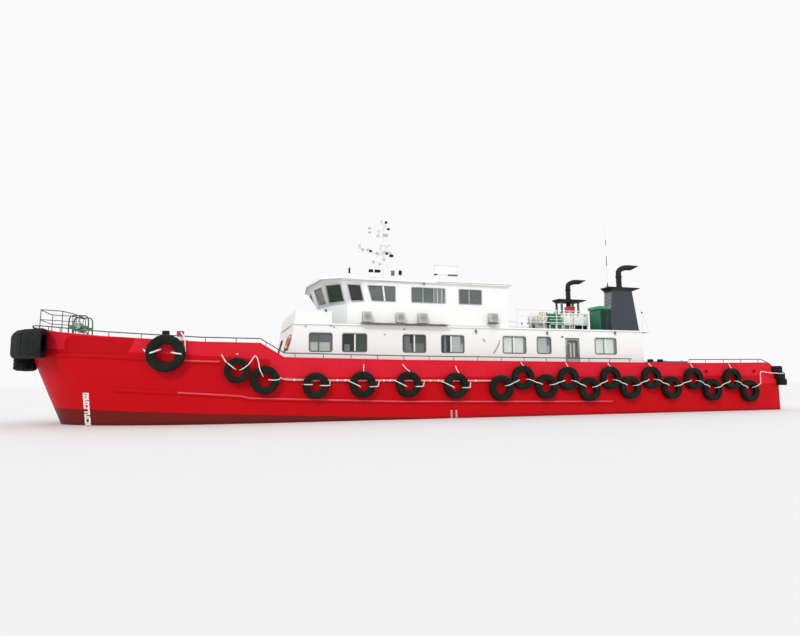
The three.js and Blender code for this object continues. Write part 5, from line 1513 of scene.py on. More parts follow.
def addBulkheadLamp(bm, at, out, size=0.06, mat=0):
    # A round fitting with a guard over the glass
    move = turned(at, out)
    addLathe(bm, [(size, 0), (size, 0.025), (size * 0.86, 0.035), (size * 0.6, 0.036)], 20, mat, move)
    addLathe(bm, [(size * 0.72, 0.03), (size * 0.70, 0.07), (size * 0.5, 0.10), (size * 0.1, 0.112)], 18, 1,
        move)
    for a, b in around(6, size * 0.8)[:3]:
        arc = [Vector((a * share, b * share, 0.035 + 0.085 * rise)) for share, rise in arcOf(1, 0, 1, 8)]
        addTube(bm, [move @ p for p in arc], 0.006, 6, mat)


wallGear = {
    "lamps": [(-0.646, 4.106), (-4.618, 4.105), (-8.723, 4.181)],
    "dots": [(-5.508, 3.924, 0.05), (7.691, 4.174, 0.03), (6.398, 4.175, 0.03), (6.536, 4.218, 0.03),
             (3.053, 4.13, 0.035), (4.011, 3.876, 0.03)],
    "wires": [[(-1.00, 3.79), (-1.03, 3.74), (-1.10, 3.66), (-1.168, 3.589)],
              [(-1.925, 3.749), (-1.89, 3.55), (-1.74, 3.28), (-1.60, 3.08), (-1.588, 3.027)]],
}


def wallPieces():
    bm = bmesh.new()
    y = house["wallY"]
    for x, z in wallGear["lamps"]:
        addBox(bm, about(x, 0.04), (y - 0.002, y + 0.09), about(z, 0.08), 0.02)
        addBox(bm, about(x, 0.026), (y + 0.085, y + 0.10), (z - 0.05, z + 0.03), 0.006, 1)
    for x, z, size in wallGear["dots"]:
        addBox(bm, about(x, size), (y - 0.002, y + 0.04), about(z, size * 0.8), 0.01, 2)
    for line in wallGear["wires"]:
        path = ([(line[0][0], y - 0.02, line[0][1])] + [(x, y + 0.02, z) for x, z in line[1:-1]]
            + [(line[-1][0], y - 0.02, line[-1][1])])
        addTube(bm, smoothPath(path, 0.05), 0.016, 8, 2)
    addBulkheadLamp(bm, (6.77, y, 4.942), (0.3, 1, 0), 0.05)
    addBox(bm, (6.73, 6.81), (2.74, 2.81), (4.86, 4.96), 0.01, 0)
    mirrorInto(bm)
    for x, z in ((house["aftX"], 4.0), (house["upperAftX"], 6.28)):
        addBulkheadLamp(bm, (x, 0.6, z), (-1, 0, 0))
    makePiece("wallLamps", bm, ["black", "lampClear", "grey"], sharp=35)
    bm = bmesh.new()
    for (first, *_, last), _, _ in lowerWindows:
        # Drip strip over each window
        addBox(bm, (first - 0.07, last + 0.07), (y - 0.002, y + 0.022), (3.945, 3.96), 0.004)
    for x0, x1 in ((-10.48, -6.56), (-5.64, 8.66)):
        addBox(bm, (x0, x1), (y - 0.002, y + 0.006), (1.901, 1.96), 0.002)
    mirrorInto(bm)
    makePiece("wallTrim", bm, ["trim"], sharp=30)


def edgePieces():
    bm = bmesh.new()
    addTube(bm, [(8.185, 2.815, 4.29), (-10.9, 2.815, 4.29), (-10.9, -2.815, 4.29), (8.185, -2.815, 4.29)],
        0.045, 10, closed=True)
    makePiece("boatDeckEdge", bm, ["trim"], sharp=50)
    # The thin dark lines of the roof's rain channel
    bm = bmesh.new()
    addTube(bm, [(6.08, 2.985, 6.30), (5.0, 2.94, 6.36), (4.0, 2.86, 6.385), (1.95, 2.86, 6.40)], 0.010, 8)
    addTube(bm, [(1.45, 2.932, 6.45), (-2.58, 2.932, 6.47)], 0.017, 8)
    for x in (5.9, 4.6, 3.3, 2.0):
        addTube(bm, [(x, 2.86, 6.402), (x, 2.88, 6.37)], 0.008, 6)
    addBulkheadLamp(bm, (2.049, 2.86, 6.402), (0, 0.3, -1), 0.05, 2)
    addBulkheadLamp(bm, (-0.377, 2.88, 6.45), (0, 0.6, -0.5), 0.04)
    mirrorInto(bm)
    makePiece("roofEdge", bm, ["paleGrey", "lampClear", "black"], sharp=50)


windowPieces()
doorPieces()
wallPieces()
edgePieces()
print("houses built")


# Gear on the boat deck and the roof

levels = {"boatDeck": 4.33, "roof": 6.50}

cooling = {
    "shelf": (0.90, 5.18), "y": (2.84, 3.11), "z": (4.395, 4.90),
    "units": [(4.70, 5.11), (3.10, 3.49), (1.96, 2.40)],
    "aft": (-1.74, -1.29, 4.52, 5.00),
}


def addUnit(bm, x0, x1, z0, z1):
    # A cooling unit: casing with a round fan guard, feet and side slats
    y0, y1 = cooling["y"]
    addBox(bm, (x0, x1), (y0, y1), (z0 + 0.03, z1), 0.018)
    for x in (x0 + 0.05, x1 - 0.09):
        addBox(bm, (x, x + 0.04), (y0 + 0.03, y1 - 0.03), (z0 - 0.001, z0 + 0.035), 0.004, 1)
    middle = Vector(((x0 + x1) / 2, y1, (z0 + z1) / 2 + 0.015))
    reach = min(x1 - x0, z1 - z0) * 0.40
    for k in range(1, 5):
        addTorus(bm, reach * k / 4, 0.006, athwart(middle), 24, 6, 2)
    for a, b in around(8, reach):
        addTube(bm, [middle, middle + Vector((a, 0, b))], 0.005, 6, 2)
    for k in range(4):
        z = z0 + 0.09 + 0.05 * k
        for x in (x0 - 0.001, x1 - 0.005):
            addBox(bm, (x, x + 0.006), (y0 + 0.06, y1 - 0.06), (z, z + 0.02), 0.002, 2)


def coolingPieces():
    bm = bmesh.new()
    x0, x1 = cooling["shelf"]
    addBox(bm, (x0, 4.74), (2.80, 3.12), (4.355, 4.388), 0.008, 1)
    addBox(bm, (4.70, x1), (2.83, 3.12), (4.35, 4.395), 0.01, 1)
    for i in range(7):
        x = x0 + 0.12 + i * 0.64
        addPlate(bm, [(2.80 if x < 4.7 else 2.84, 4.356), (3.09, 4.356), (2.84, 4.336)], x, x + 0.012, "yz",
            1)
        addBox(bm, (x + 0.1, x + 0.34), (3.06, 3.118), (4.38, 4.396), 0.005, 1)
    for u0, u1 in cooling["units"]:
        addUnit(bm, u0, u1, *cooling["z"])
    u0, u1, z0, z1 = cooling["aft"]
    addUnit(bm, u0, u1, z0, z1)
    addBox(bm, (u0 - 0.03, u1 + 0.03), (2.80, 3.12), (z0 - 0.04, z0 + 0.005), 0.008, 2)
    addTube(bm, [(0.92, 2.85, 4.38), (-1.0, 2.85, 4.38), (-1.30, 2.85, 4.45), (-1.35, 2.85, 4.5)], 0.02, 8, 3)
    makePair("coolingUnitCasings", bm, ["paleGrey", "brown", "frame", "trim"], "cooling_units")


funnel = {
    "y": (2.07, 2.78), "footZ": levels["boatDeck"], "topZ": 6.50, "corner": 0.05,
    "foot": (-10.34, -8.59), "top": (-9.985, -8.70),
    "cap": [(-10.46, 6.63), (-10.06, 6.50), (-8.70, 6.50), (-8.50, 6.63), (-8.50, 6.68), (-10.46, 6.68)],
    "casingTop": 5.60,          # of the starboard casing, which carries on as four legs
    "pipeX": -9.43, "pipeRadius": 0.145, "pipeLow": 6.51,
    "bend": [(-9.43, 7.0), (-9.43, 7.5), (-9.46, 7.62), (-9.56, 7.72), (-9.81, 7.82), (-10.05, 7.845)],
    "mouth": -10.08,            # x at which the outlet is cut, at z 7.64
}


def funnelSpan(z):
    share = (z - funnel["footZ"]) / (funnel["topZ"] - funnel["footZ"])
    return [between(low, high, share) for low, high in zip(funnel["foot"], funnel["top"])]


def funnelSection(z, grow=0.0):
    x0, x1 = funnelSpan(z)
    y0, y1 = funnel["y"]
    return [(x, y, z) for x, y in roundedLoop(x0 - grow, x1 + grow, y0 - grow, y1 + grow, funnel["corner"],
        4)]


def casingPiece(name, top):
    f = funnel
    y = sum(f["y"]) / 2
    bm = bmesh.new()
    addRings(bm, [funnelSection(between(f["footZ"], top, k / 8)) for k in range(9)])
    for z in (f["footZ"] + 0.02, top - 0.06):
        addRings(bm, [funnelSection(z, 0.001), funnelSection(z + 0.008, 0.012),
            funnelSection(z + 0.032, 0.012), funnelSection(z + 0.04, 0.001)])
    for k in range(int((top - 4.6) / 0.075)):
        # Air slats on the forward face, in the lighter slate: painted light on the face towards the bow
        z = 4.55 + 0.075 * k
        x = funnelSpan(z)[1]
        slat = [(x - 0.004, z), (x + 0.018, z - 0.022), (x + 0.022, z - 0.012), (x - 0.004, z + 0.03)]
        addPlate(bm, slat, f["y"][0] + 0.05, f["y"][1] - 0.05, "xz", 1)
    for k in range(int((top - 4.6) / 0.28)):
        z = 4.65 + 0.28 * k
        x = funnelSpan(z)[0]
        addTube(bm, [(x + 0.01, y - 0.15, z), (x - 0.07, y - 0.15, z), (x - 0.07, y + 0.15, z),
            (x + 0.01, y + 0.15, z)], 0.010, 8, 2)
    if top < f["topZ"]:
        for x, leg in ((f["top"][0] + 0.06, 3), (f["top"][1] - 0.06, 4)):
            for yAt in (2.08, 2.66):
                addBox(bm, about(x, 0.055), (yAt, yAt + 0.11), (top - 0.01, f["topZ"] + 0.01), 0.012, leg)
        flipShape(bm)
    makePiece(f"funnelCasing_{name}", bm, ["slate", "slateLitFace", "black", "frame", "steelBlue"],
        [f"funnel_{name}"], sharp=35)


def pipePiece(name, low):
    f = funnel
    y = sum(f["y"]) / 2
    bm = bmesh.new()
    addPlate(bm, f["cap"], f["y"][0] - 0.025, f["y"][1] + 0.025, edge=0.012)
    path = [Vector((f["pipeX"], y, low))] + smoothPath([(x, y, z) for x, z in f["bend"]], 0.07)
    rings = [[p + s * a + u * b for a, b in around(24, f["pipeRadius"])]
        for p, (s, u) in zip(path, pathFrames(path))]
    for scale, back in ((1.0, 0.0), (0.9, 0.0), (0.88, 0.35)):
        # The outlet is cut on a slant, with the wall's thickness and the bore
        mouth = [Vector((f["mouth"] - 0.69 * (p.z - 7.64) / 0.36, y + (p.y - y) * scale, p.z))
            for p in rings[-1 - (scale < 1)]]
        rings.append([Vector((p.x + back, p.y, between(7.845, p.z, scale))) for p in mouth])
    addRings(bm, rings)
    for z in (6.72, 7.30):
        addLathe(bm, [(0.14, z - 0.03), (0.175, z - 0.028), (0.175, z + 0.028), (0.14, z + 0.03)], 24, 0,
            upright(f["pipeX"], y))
    if name == "starboard":
        flipShape(bm)
    else:
        addAerial(bm, y)
    makePiece(f"funnelPipe_{name}", bm, ["soot", "faint", "black"], [f"exhaust_{name}"])


def addAerial(bm, y):
    # A long whip, pale with two black lengths
    knots = [(6.66, 0.020, 1), (7.86, 0.017, 2), (8.41, 0.016, 1), (9.01, 0.015, 2), (9.33, 0.014, 1),
        (12.5, 0.006, 1)]
    for (z0, r0, mat), (z1, r1, _) in zip(knots, knots[1:]):
        addLathe(bm, [(r0, z0), (r1, z1)], 10, mat, upright(-8.69, y))
    addLathe(bm, [(0.05, 6.66), (0.05, 6.74), (0.03, 6.80), (0.02, 6.95)], 14, 2, upright(-8.69, y))


lantern = {
    "radius": 0.065,
    # Base, lens and lid: the finish, then shares of the radius and of the height
    "parts": [(0, [(1, 0), (1, 0.16), (0.85, 0.2)]), (2, [(0.84, 0.19), (0.9, 0.5), (0.84, 0.76)]),
              (0, [(0.85, 0.75), (1, 0.78), (0.95, 0.88), (0.3, 1.0)])],
}


def addLantern(bm, x, y, low, high):
    # A navigation lamp
    radius, rise = lantern["radius"], high - low
    for mat, profile in lantern["parts"]:
        addLathe(bm, [(radius * r, low + share * rise) for r, share in profile], 18, mat, upright(x, y))
    for a, b in around(3, radius):
        addTube(bm, [(x + a, y + b, low + share * rise) for share in (0.15, 0.85)], 0.004, 6)


mast = {
    "x": 3.33, "foot": levels["roof"], "top": 9.90, "radii": (0.085, 0.055),
    "boom": (2.75, 4.56, 8.33, 8.42), "yards": [(0.90, 8.375, 0.034), (0.62, 9.55, 0.028)],
    # Small dark and grey things on it: x, z, size along and up, finish
    "spots": [(3.94, 8.435, 0.07, 0.06, 1), (3.065, 8.39, 0.06, 0.09, 1), (2.81, 8.25, 0.10, 0.06, 1),
              (3.09, 10.026, 0.06, 0.06, 1), (2.966, 9.679, 0.07, 0.05, 1), (4.353, 8.50, 0.06, 0.08, 3),
              (4.07, 8.50, 0.09, 0.05, 3), (3.988, 9.658, 0.07, 0.04, 3), (3.988, 9.434, 0.07, 0.04, 3),
              (3.551, 9.273, 0.06, 0.05, 3), (3.121, 9.33, 0.13, 0.07, 3), (3.597, 8.349, 0.07, 0.06, 3),
              (3.782, 7.878, 0.06, 0.07, 3), (3.235, 8.041, 0.07, 0.05, 3), (3.43, 7.79, 0.08, 0.04, 3)],
}


def mastPieces():
    m = mast
    x = m["x"]
    bm = bmesh.new()
    r0, r1 = m["radii"]
    addBox(bm, about(x, 0.25), (-0.25, 0.25), (m["foot"] - 0.002, m["foot"] + 0.04), 0.008)
    addLathe(bm, [(r0, m["foot"] + 0.03), (between(r0, r1, 0.5), 8.2), (r1, m["top"]),
        (r1 * 0.7, m["top"] + 0.03)], 24, 0, upright(x, 0))
    for a, b in around(4):
        gusset = [[(x + a * out - b * t, b * out + a * t, z) for out, z in ((0.07, 6.53), (0.2, 6.53),
            (0.07, 6.75))] for t in (-0.006, 0.006)]
        addRings(bm, gusset)
    x0, x1, z0, z1 = m["boom"]
    addBox(bm, (x0, x1), (-0.045, 0.045), (z0, z1), 0.012)
    for reach, level, radius in m["yards"]:
        addTube(bm, [(x, -reach, level), (x, reach, level)], radius, 12)
    addTube(bm, [(2.43, 0, 6.52), (3.32, 0, 8.35)], 0.045, 12)
    addBox(bm, (2.33, 2.53), (-0.09, 0.09), (6.499, 6.535), 0.008)
    addBox(bm, (2.87, 3.38), (-0.19, 0.19), (8.415, 8.88), 0.03)
    for k in range(3):
        addBox(bm, (2.93, 3.32), (0.188, 0.197), (8.50 + 0.11 * k, 8.53 + 0.11 * k), 0.003)
    addBox(bm, (3.27, 3.39), (-0.06, 0.06), (10.11, 10.21), 0.02)
    addLantern(bm, 4.52, 0, 8.415, 8.87)
    addLantern(bm, x, 0, 9.88, 10.25)
    for side in (-1, 1):
        addLantern(bm, x, side * 0.85, 8.40, 8.62)
        addLantern(bm, x, side * 0.59, 9.57, 9.76)
        addTube(bm, [(x, side * 0.70, 8.40), (x, side * 0.05, 8.95)], 0.012, 8)
    for k in range(9):
        # Rungs on the port side
        z = 6.90 + 0.29 * k
        addTube(bm, [(x - 0.06, 0.05, z), (x - 0.06, 0.17, z), (x + 0.10, 0.17, z), (x + 0.10, 0.03, z)],
            0.010, 6)
    for sx, sz, wide, tall, tone in m["spots"]:
        addBox(bm, about(sx, wide), (-0.06, 0.075), about(sz, tall), 0.02, tone)
        addTube(bm, [(x, 0, sz - 0.06), (sx, 0, sz - 0.03)], 0.011, 8)
    addBox(bm, (2.86, 3.39), (-0.2, 0.2), (8.73, 8.77), 0.008, 3)
    makePiece("lightMast", bm, ["faint", "black", "lampClear", "frameLight"], ["mast"],
        sharp=38)


radar = {"x": 4.03, "y": 0.90, "half": 0.36, "z": (7.155, 7.305)}


def radarPieces():
    r = radar
    x, y = r["x"], r["y"]
    roof = levels["roof"]
    bm = bmesh.new()
    addBox(bm, about(x, 0.15), about(y, 0.15), (roof - 0.001, roof + 0.03), 0.008)
    addLathe(bm, [(0.08, 6.52), (0.06, 6.56), (0.06, 6.89)], 20, 0, upright(x, y))
    addBox(bm, about(x, 0.17), about(y, 0.15), (6.88, 7.107), 0.04, steps=3)
    for a, b in around(4, 0.13):
        addDrum(bm, 0.012, 6.52, 6.55, 0.003, 8, 0, upright(x + a, y + b))
    makePiece("radarPost", bm, ["faint"], ["radar_pedestal"])
    bm = bmesh.new()
    z0, z1 = r["z"]
    profile = [(-0.07, 0.25), (-0.055, 0.04), (0.0, 0.0), (0.055, 0.04), (0.07, 0.25), (0.07, 0.75),
        (0.055, 0.96), (0.0, 1.0), (-0.055, 0.96), (-0.07, 0.75)]
    for start, end, tone in ((-1.0, -0.12, 0), (-0.12, 0.06, 1), (0.06, 0.72, 0), (0.72, 1.0, 1)):
        rings = []
        for k in range(5):
            share = between(start, end, k / 4)
            scale = 1.0 if abs(share) < 0.98 else 0.82
            rings.append([(x + share * r["half"], y + a * scale, between(z0, z1, 0.5 + (b - 0.5) * scale))
                for a, b in profile])
        addRings(bm, rings, tone)
    addLathe(bm, [(0.05, 7.113), (0.06, 7.12), (0.06, 7.16)], 18, 1, upright(x, y))
    makePiece("radarArm", bm, ["black", "faint"], ["radar_scanner"], "radar_scanner")


roofGear = {"boxes": [(2.643, 2.842, 7.21, 7.475), (2.248, 2.405, 7.26, 7.50)],
    "upright": (5.51, 2.0, 6.84, 7.11)}


def roofPieces():
    bm = bmesh.new()
    foot = levels["roof"] - 0.001
    for tone, (x0, x1, z0, z1) in zip((2, 0), roofGear["boxes"]):
        addTube(bm, [((x0 + x1) / 2, 0, foot), ((x0 + x1) / 2, 0, z0 + 0.02)], 0.018, 10, 1)
        addBox(bm, (x0, x1), (-0.07, 0.07), (z0, z1), 0.03, tone, 3)
    x, y, z0, z1 = roofGear["upright"]
    for side in (-1, 1):
        addTube(bm, [(x, side * y, foot), (x, side * y, z0 + 0.02)], 0.016, 8, 1)
        addBox(bm, about(x, 0.04), about(side * y, 0.05), (z0, z1), 0.02)
    makePiece("roofLampsAndGear", bm, ["black", "faint", "frame"])


board = {"x": (-0.93, 0.40), "z": (7.39, 7.89), "legs": (-0.78, 0.25), "feet": [(-0.93, -0.38), (0.24, 0.42)]}


def boardPiece():
    bm = bmesh.new()
    roof = levels["roof"]
    (x0, x1), (z0, z1) = board["x"], board["z"]
    corners = [(x0, 0.031, z0), (x1, 0.031, z0), (x1, 0.031, z1), (x0, 0.031, z1)]
    addSweep(bm, corners, rectangle(-0.02, 0.02, -0.004, 0.006), 0, closed=True)
    for x in board["feet"]:
        addBox(bm, x, (-0.05, 0.05), (z0 - 0.04, z0 + 0.035), 0.01, 2)
    for x in board["legs"]:
        addTube(bm, [(x, 0, roof), (x, 0, z0 + 0.02)], 0.022, 8, 1)
        addBox(bm, about(x, 0.05), (-0.05, 0.05), (roof - 0.001, roof + 0.03), 0.006)
    makePiece("nameBoardEdge", bm, ["paleGrey", "faint", "black"])


deckGear = {
    "raft": (-4.82, 1.60, 4.963, 0.375, 1.0),
    "cradles": (1.3, 1.9),
    "machine": (-6.13, -5.35, 0.90, 1.90, 4.60, 5.20),
    "boxes": [(-6.80, -6.24, 0.90, 1.90, 5.30), (-7.76, -6.88, 0.80, 1.90, 5.29)],
    "red": (-8.08, -7.69, 0.24, 5.56, 5.90),
    "vent": (-8.56, -7.92, 1.79, 2.76, 5.45, 5.62),
}


def raftPiece():
    x, y, z, radius, length = deckGear["raft"]
    deck = levels["boatDeck"]
    bm = bmesh.new()
    half = length / 2
    move = athwart((x, y, z))
    edge = [(radius * 0.86, half - 0.03), (radius * 0.965, half - 0.09), (radius, half - 0.14)]
    addLathe(bm, [(r, -h) for r, h in edge] + edge[::-1], 40, 0, move)
    addLathe(bm, [(0.02, half), (radius * 0.55, half - 0.008), (radius * 0.87, half - 0.03),
        (radius * 0.5, half - 0.06)], 40, 4, move)
    for h in (-0.30, 0.0, 0.30):
        addTorus(bm, radius, 0.011, athwart((x, y + h, z)), 40, 8, 0)
    for k in range(8):
        # Broken dark ring on the end face
        arc = [(x + a, y + half - 0.022, z + b) for a, b in arcOf(radius * 0.80, k / 4, k / 4 + 0.15, 6)]
        addTube(bm, arc, 0.014, 8, 3)
    addTorus(bm, radius * 0.38, 0.010, athwart((x, y + half - 0.006, z)), 28, 8, 3)
    for h in deckGear["cradles"]:
        bed = [(x + a, z + b) for a, b in arcOf(radius * 1.01, -0.12, -0.88, 12)]
        cradle = [(x - 0.38, deck - 0.001), (x + 0.38, deck - 0.001), (x + 0.30, 4.843)]
        cradle += [p for p in bed if p[1] < 4.84] + [(x - 0.30, 4.843)]
        addPlate(bm, cradle, h - 0.03, h + 0.03, mat=2)
        addBox(bm, about(x, 0.40), about(h, 0.05), (deck - 0.002, deck + 0.035), 0.01, 3)
        strap = [(x + a, h, z + b) for a, b in arcOf(radius * 1.006, -0.15, 1.15, 24)]
        addSweep(bm, strap, rectangle(-0.022, 0.022, -0.003, 0.005), 2)
    for corner in (-0.34, 0.34):
        addBox(bm, about(x + corner, 0.03), (1.28, 1.92), (deck + 0.14, deck + 0.20), 0.01, 3)
    makePiece("liferaftDrum", bm, ["cream", "black", "paleGrey", "frame", "raftEnd"],
        ["life_raft"])


def machinePiece():
    x0, x1, y0, y1, z0, z1 = deckGear["machine"]
    deck = levels["boatDeck"]
    bm = bmesh.new()
    addBox(bm, (-6.17, -5.31), (0.86, 1.94), (deck - 0.002, deck + 0.07), 0.01, 1)
    for x in (-6.12, -5.75, -5.37):
        for y in (0.92, 1.88):
            addBox(bm, about(x, 0.03), about(y, 0.03), (deck + 0.06, z0 + 0.02), 0.008, 2)
    addBox(bm, (-6.14, -5.34), (0.95, 1.85), (deck + 0.06, z0 + 0.02), 0.02)
    addBox(bm, (x0, x1), (y0, y1), (z0, z0 + 0.30), 0.04)
    addBox(bm, (x0 + 0.06, x1 - 0.06), (y0 + 0.05, y1 - 0.05), (z0 + 0.28, z1), 0.05)
    addBox(bm, (-6.0, -5.48), (1.15, 1.65), (z1 - 0.02, 5.27), 0.03)
    for x, lean in ((-5.93, -0.05), (-5.55, 0.05)):
        # Two lifting horns
        addTube(bm, [(x, 1.4, 5.25), (x + lean, 1.4, 5.34), (x + lean * 1.3, 1.4, 5.385)], 0.028, 10)
    for k in range(3):
        addDrum(bm, 0.055, z1 - 0.02, z1 + 0.05, 0.012, 16, 3, upright(x0 + 0.2 + 0.19 * k, y1 - 0.14))
    for z in (z0 + 0.05, z0 + 0.30):
        addBox(bm, (x0 + 0.02, x1 - 0.02), (y1 - 0.005, y1 + 0.012), (z, z + 0.035), 0.006, 2)
    addTorus(bm, 0.11, 0.013, athwart((x1 - 0.22, y1 + 0.01, z0 + 0.2)), 24, 8, 3)
    addTube(bm, smoothPath([(x0 + 0.1, y1 - 0.02, z0 + 0.2), (x0 + 0.06, y1 - 0.01, z0 + 0.4),
        (x0 + 0.16, y1 - 0.03, z1 - 0.05), (x0 + 0.36, y1 - 0.05, z1 + 0.02)], 0.05), 0.02, 8, 3)
    makePiece("pumpSetGreen", bm, ["green", "black", "white", "teal"], ["deck_machine"])


def boxPiece():
    deck = levels["boatDeck"]
    bm = bmesh.new()
    addBox(bm, (-7.78, -6.26), (0.85, 1.85), (deck - 0.002, deck + 0.05), 0.008, 2)
    for x0, x1, y0, y1, top in deckGear["boxes"]:
        # A dark block between the legs, brown under one box and black under the other: painted shade in the
        # gap under the box
        addBox(bm, (x0 + 0.04, x1 - 0.04), (y0 + 0.05, y1 - 0.08), (deck + 0.04, 4.64), 0.01,
            1 if x1 > -6.5 else 2)
        for x in (x0 + 0.03, x1 - 0.03):
            for y in (y0 + 0.06, y1 - 0.08):
                addBox(bm, about(x, 0.03), about(y, 0.03), (deck + 0.04, 4.64), 0.006)
        addBox(bm, (x0, x1), (y0, y1), (4.63, top - 0.05), 0.025)
        addBox(bm, (x0 - 0.015, x1 + 0.015), (y0 - 0.015, y1 + 0.015), (top - 0.07, top), 0.02)
        for share in (0.25, 0.75):
            x = between(x0, x1, share)
            addBox(bm, about(x, 0.03), (y1 - 0.005, y1 + 0.018), (top - 0.16, top - 0.05), 0.005, 3)
        addBox(bm, (x0 + 0.10, x1 - 0.10), (y1 - 0.004, y1 + 0.006), (4.72, top - 0.24), 0.004)
        for share, y in ((0.3, y0 + 0.2), (0.7, y0 + 0.45)):
            addLathe(bm, [(0.035, top - 0.01), (0.035, top + 0.06), (0.06, top + 0.065), (0.05, top + 0.10),
                (0.02, top + 0.11)], 14, 4, upright(between(x0, x1, share), y))
    makePiece("deckBoxesWhite", bm, ["white", "brown", "black", "steel", "teal"],
        ["deck_boxes"])


def lockerPieces():
    deck = levels["boatDeck"]
    x0, x1, half, z0, z1 = deckGear["red"]
    bm = bmesh.new()
    addBox(bm, (x0, x1), (-half, half), (z0, z1 - 0.05), 0.03)
    addBox(bm, (x0 - 0.01, x1 + 0.01), (-half - 0.01, half + 0.01), (z1 - 0.07, z1), 0.02)
    for side in (-1, 1):
        addBox(bm, (-7.89, -7.80), about(side * 0.2, 0.03), (deck - 0.002, z0 + 0.01), 0.01, 1)
        addBox(bm, (-7.93, -7.76), about(side * 0.2, 0.06), (deck - 0.002, deck + 0.02), 0.005, 1)
    addTube(bm, [(-7.845, -0.2, 4.9), (-7.845, 0.2, 4.9)], 0.014, 8, 1)
    addTube(bm, [(x0 + 0.1, half - 0.01, 5.72), (x0 + 0.1, half + 0.03, 5.72), (x1 - 0.1, half + 0.03, 5.72),
        (x1 - 0.1, half - 0.01, 5.72)], 0.009, 8, 2)
    makePiece("redLockerCase", bm, ["redGear", "white", "steel"], ["red_locker"])

    bm = bmesh.new()
    x0, x1, y0, y1, body, top = deckGear["vent"]
    # Body in the near-black green: painted shade on its sides; the front plate and the lid go over it in
    # lighter greens
    addBox(bm, (x0, x1), (y0, y1), (deck - 0.002, body + 0.005), 0.02, 2)
    addBox(bm, (x1 - 0.004, x1 + 0.006), (y0 + 0.01, y1 - 0.01), (deck + 0.02, body - 0.01), 0.004)
    addBox(bm, (-8.57, -7.85), (1.73, 2.79), (body, top), 0.03, 1, 3)
    for k in range(8):
        z = deck + 0.2 + 0.11 * k
        slat = [(y1 - 0.004, z), (y1 + 0.018, z - 0.02), (y1 + 0.022, z - 0.01), (y1 - 0.004, z + 0.03)]
        addPlate(bm, slat, x0 + 0.10, x1 - 0.10, "yz", 2)
    for k in range(5):
        z = deck + 0.2 + 0.19 * k
        addBox(bm, (x1 + 0.004, x1 + 0.012), (y0 + 0.12, y1 - 0.12), (z, z + 0.02), 0.003, 0)
    makePiece("ventLockerGreen", bm, ["green", "greenLight", "mottledShadedGreen"], ["vent_locker"])


def ringPiece():
    # A life ring: round body, four white bands and the grab line
    low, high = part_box("life_ring_port")
    middle = (low + high) / 2
    lean = Vector((3.78 - 2.89, 0, 8.49 - 8.25)).normalized()
    move = turned(middle, lean)
    radius, bar = 0.30, 0.062
    bm = bmesh.new()
    spokes = around(40)
    for k in range(40):
        ends = (spokes[k], spokes[(k + 1) % 40])
        rings = [[move @ Vector(((radius + p) * a, (radius + p) * b, 0.8 * q)) for p, q in around(14, bar)]
            for a, b in ends]
        addRings(bm, rings, 1 if k % 10 in (4, 5) else 0, capped=False)
    line = []
    for i in range(48):
        t = 2 * math.pi * i / 48
        reach = radius + bar + 0.006 + 0.014 * abs(math.sin(2 * t))
        line.append(move @ Vector((reach * math.cos(t), reach * math.sin(t), 0)))
    addTube(bm, line, 0.009, 6, 2, closed=True)
    hook = middle.y
    addBox(bm, (frontX(middle.z) - 0.01, middle.x + 0.06), about(hook, 0.05),
        (middle.z - 0.38, middle.z - 0.345), 0.006, 2)
    makePiece("lifeRingBands", bm, ["orange", "white", "black"], ["life_ring_port"])


def guardRailPieces():
    bm = bmesh.new()
    y, deck = 2.79, levels["boatDeck"]
    for z in (4.65, 4.96, 5.28):
        addTube(bm, [(-2.95, y, z), (-6.75, y, z)], 0.018, 10)
    for i in range(6):
        x = -2.95 - 0.76 * i
        addPost(bm, Vector((x, y, deck)), Vector((x, y, 5.28)), 0.018)
        addBox(bm, about(x, 0.05), (y - 0.05, y + 0.02), (deck - 0.001, deck + 0.015), 0.004)
    makePair("guardRailWhite", bm, ["faint"], "guard_rail")
    # Small fittings seen along the deck edge
    bm = bmesh.new()
    addTube(bm, [(-10.587, 2.6, 5.551), (-10.70, 2.6, 5.30), (-11.05, 2.6, 4.519)], 0.012, 8)
    addTube(bm, [(-10.70, 2.6, 5.30), (-10.70, 2.6, 4.329)], 0.012, 8)
    addBox(bm, (-10.73, -10.66), (2.56, 2.64), (5.32, 5.38), 0.012, 1)
    addTube(bm, [(-3.057, 2.6, 4.329), (-3.057, 2.6, 5.31)], 0.014, 8)
    addBox(bm, (-3.23, -2.97), (2.57, 2.63), (5.29, 5.33), 0.012)
    addBox(bm, (-2.49, -2.07), (2.56, 2.64), (4.329, 4.47), 0.02, 1)
    for x, z in ((-3.305, 4.583), (-3.66, 4.592)):
        addTube(bm, [(x, 2.6, 4.329), (x, 2.6, z)], 0.012, 8)
        addBox(bm, about(x, 0.035), (2.57, 2.63), about(z, 0.03), 0.012, 1)
    makePiece("deckEdgeFittings", bm, ["faint", "black"])


coolingPieces()
casingPiece("port", funnel["topZ"])
casingPiece("starboard", funnel["casingTop"])
pipePiece("port", funnel["pipeLow"])
pipePiece("starboard", funnel["casingTop"])
mastPieces()
radarPieces()
roofPieces()
boardPiece()
raftPiece()
machinePiece()
boxPiece()
lockerPieces()
ringPiece()
guardRailPieces()
print("boat deck and mast built")


# Paint for the solids that show as they are

painted = {
    "house": ["deckhouse_walls", "upper_house_walls", "front_parapet", "aft_door", "upper_door"],
    "doorGrey": ["side_door_port", "side_door_starboard"],
    "trim": ["wheelhouse_roof", "name_board"], "deckGreen": ["boat_deck"], "grey": ["helm_console"],
    "bronze": ["propeller_port", "propeller_starboard"],
    "antifouling": ["shaft_bracket_port", "shaft_bracket_starboard", "rudder_port", "rudder_starboard"],
}
for kind, nodes in painted.items():
    for node in nodes:
        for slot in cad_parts[node].material_slots:
            slot.material = finishes[kind]
print("solids painted")


# Floor, light and camera

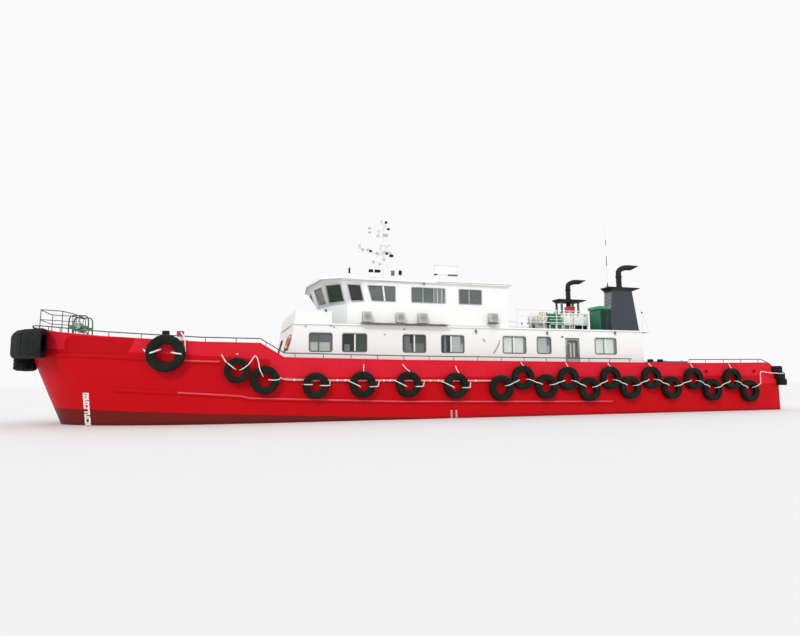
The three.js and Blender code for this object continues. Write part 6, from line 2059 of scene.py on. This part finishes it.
stage = {
    "floorColor": (0.75, 0.755, 0.76), "reach": 600,
    "sky": (0.955, 0.955, 0.95), "skyStrength": 1.0,
    "sunFrom": (0.52, 0.72, 0.60),      # bow and port quarter, fairly high
    "sunStrength": 1.2, "sunAngle": 12.0,
}
camera = {
    "place": (11.70, 29.308, 1.628),
    "yaw": -0.3087, "pitch": 0.1089, "roll": -0.0071,
    "focal": 593.83, "width": 800.0, "sensor": 36.0,
}


def buildStage():
    reach = stage["reach"]
    floor = bpy.data.meshes.new("studioFloor")
    floor.from_pydata([(-reach, -reach, 0), (reach, -reach, 0), (reach, reach, 0), (-reach, reach, 0)], [],
        [(0, 1, 2, 3)])
    ground = bpy.data.objects.new("studioFloor", floor)
    bpy.context.collection.objects.link(ground)
    material, tree, shader = startMaterial("floorPaint")
    mottle = noise(tree, place(tree), 0.4, 4.0)
    light = tuple(c * 1.04 for c in stage["floorColor"])
    fill(tree, shader, {"Base Color": blendColor(tree, mottle, (*stage["floorColor"], 1), (*light, 1)),
        "Roughness": 0.7})
    floor.materials.append(material)

    world = bpy.data.worlds.new("studioSky")
    world.use_nodes = True
    fill(world.node_tree, world.node_tree.nodes["Background"], {
        "Color": (*stage["sky"], 1), "Strength": stage["skyStrength"]})
    bpy.context.scene.world = world
    sun = bpy.data.objects.new("softSun", bpy.data.lights.new("softSun", "SUN"))
    sun.data.energy = stage["sunStrength"]
    sun.data.angle = math.radians(stage["sunAngle"])
    sun.rotation_mode = "QUATERNION"
    sun.rotation_quaternion = Vector(stage["sunFrom"]).to_track_quat("Z", "Y")
    bpy.context.collection.objects.link(sun)
    bpy.context.scene.view_settings.view_transform = "Standard"


def buildCamera():
    c = camera
    ahead = Vector((math.sin(c["yaw"]), -math.cos(c["yaw"]), 0))
    right = Vector((-math.cos(c["yaw"]), -math.sin(c["yaw"]), 0))
    up = Vector((0, 0, 1))
    look = ahead * math.cos(c["pitch"]) + up * math.sin(c["pitch"])
    lifted = up * math.cos(c["pitch"]) - ahead * math.sin(c["pitch"])
    across = right * math.cos(c["roll"]) + lifted * math.sin(c["roll"])
    above = lifted * math.cos(c["roll"]) - right * math.sin(c["roll"])
    data = bpy.data.cameras.new("quayCamera")
    data.sensor_fit = "HORIZONTAL"
    data.sensor_width = c["sensor"]
    data.lens = c["focal"] * c["sensor"] / c["width"]
    data.clip_end = 500
    lens = bpy.data.objects.new("quayCamera", data)
    basis = Matrix((across, above, -look)).transposed().to_4x4()
    lens.matrix_world = Matrix.Translation(c["place"]) @ basis
    bpy.context.collection.objects.link(lens)
    bpy.context.scene.camera = lens


buildStage()
buildCamera()
print("stage and camera set")
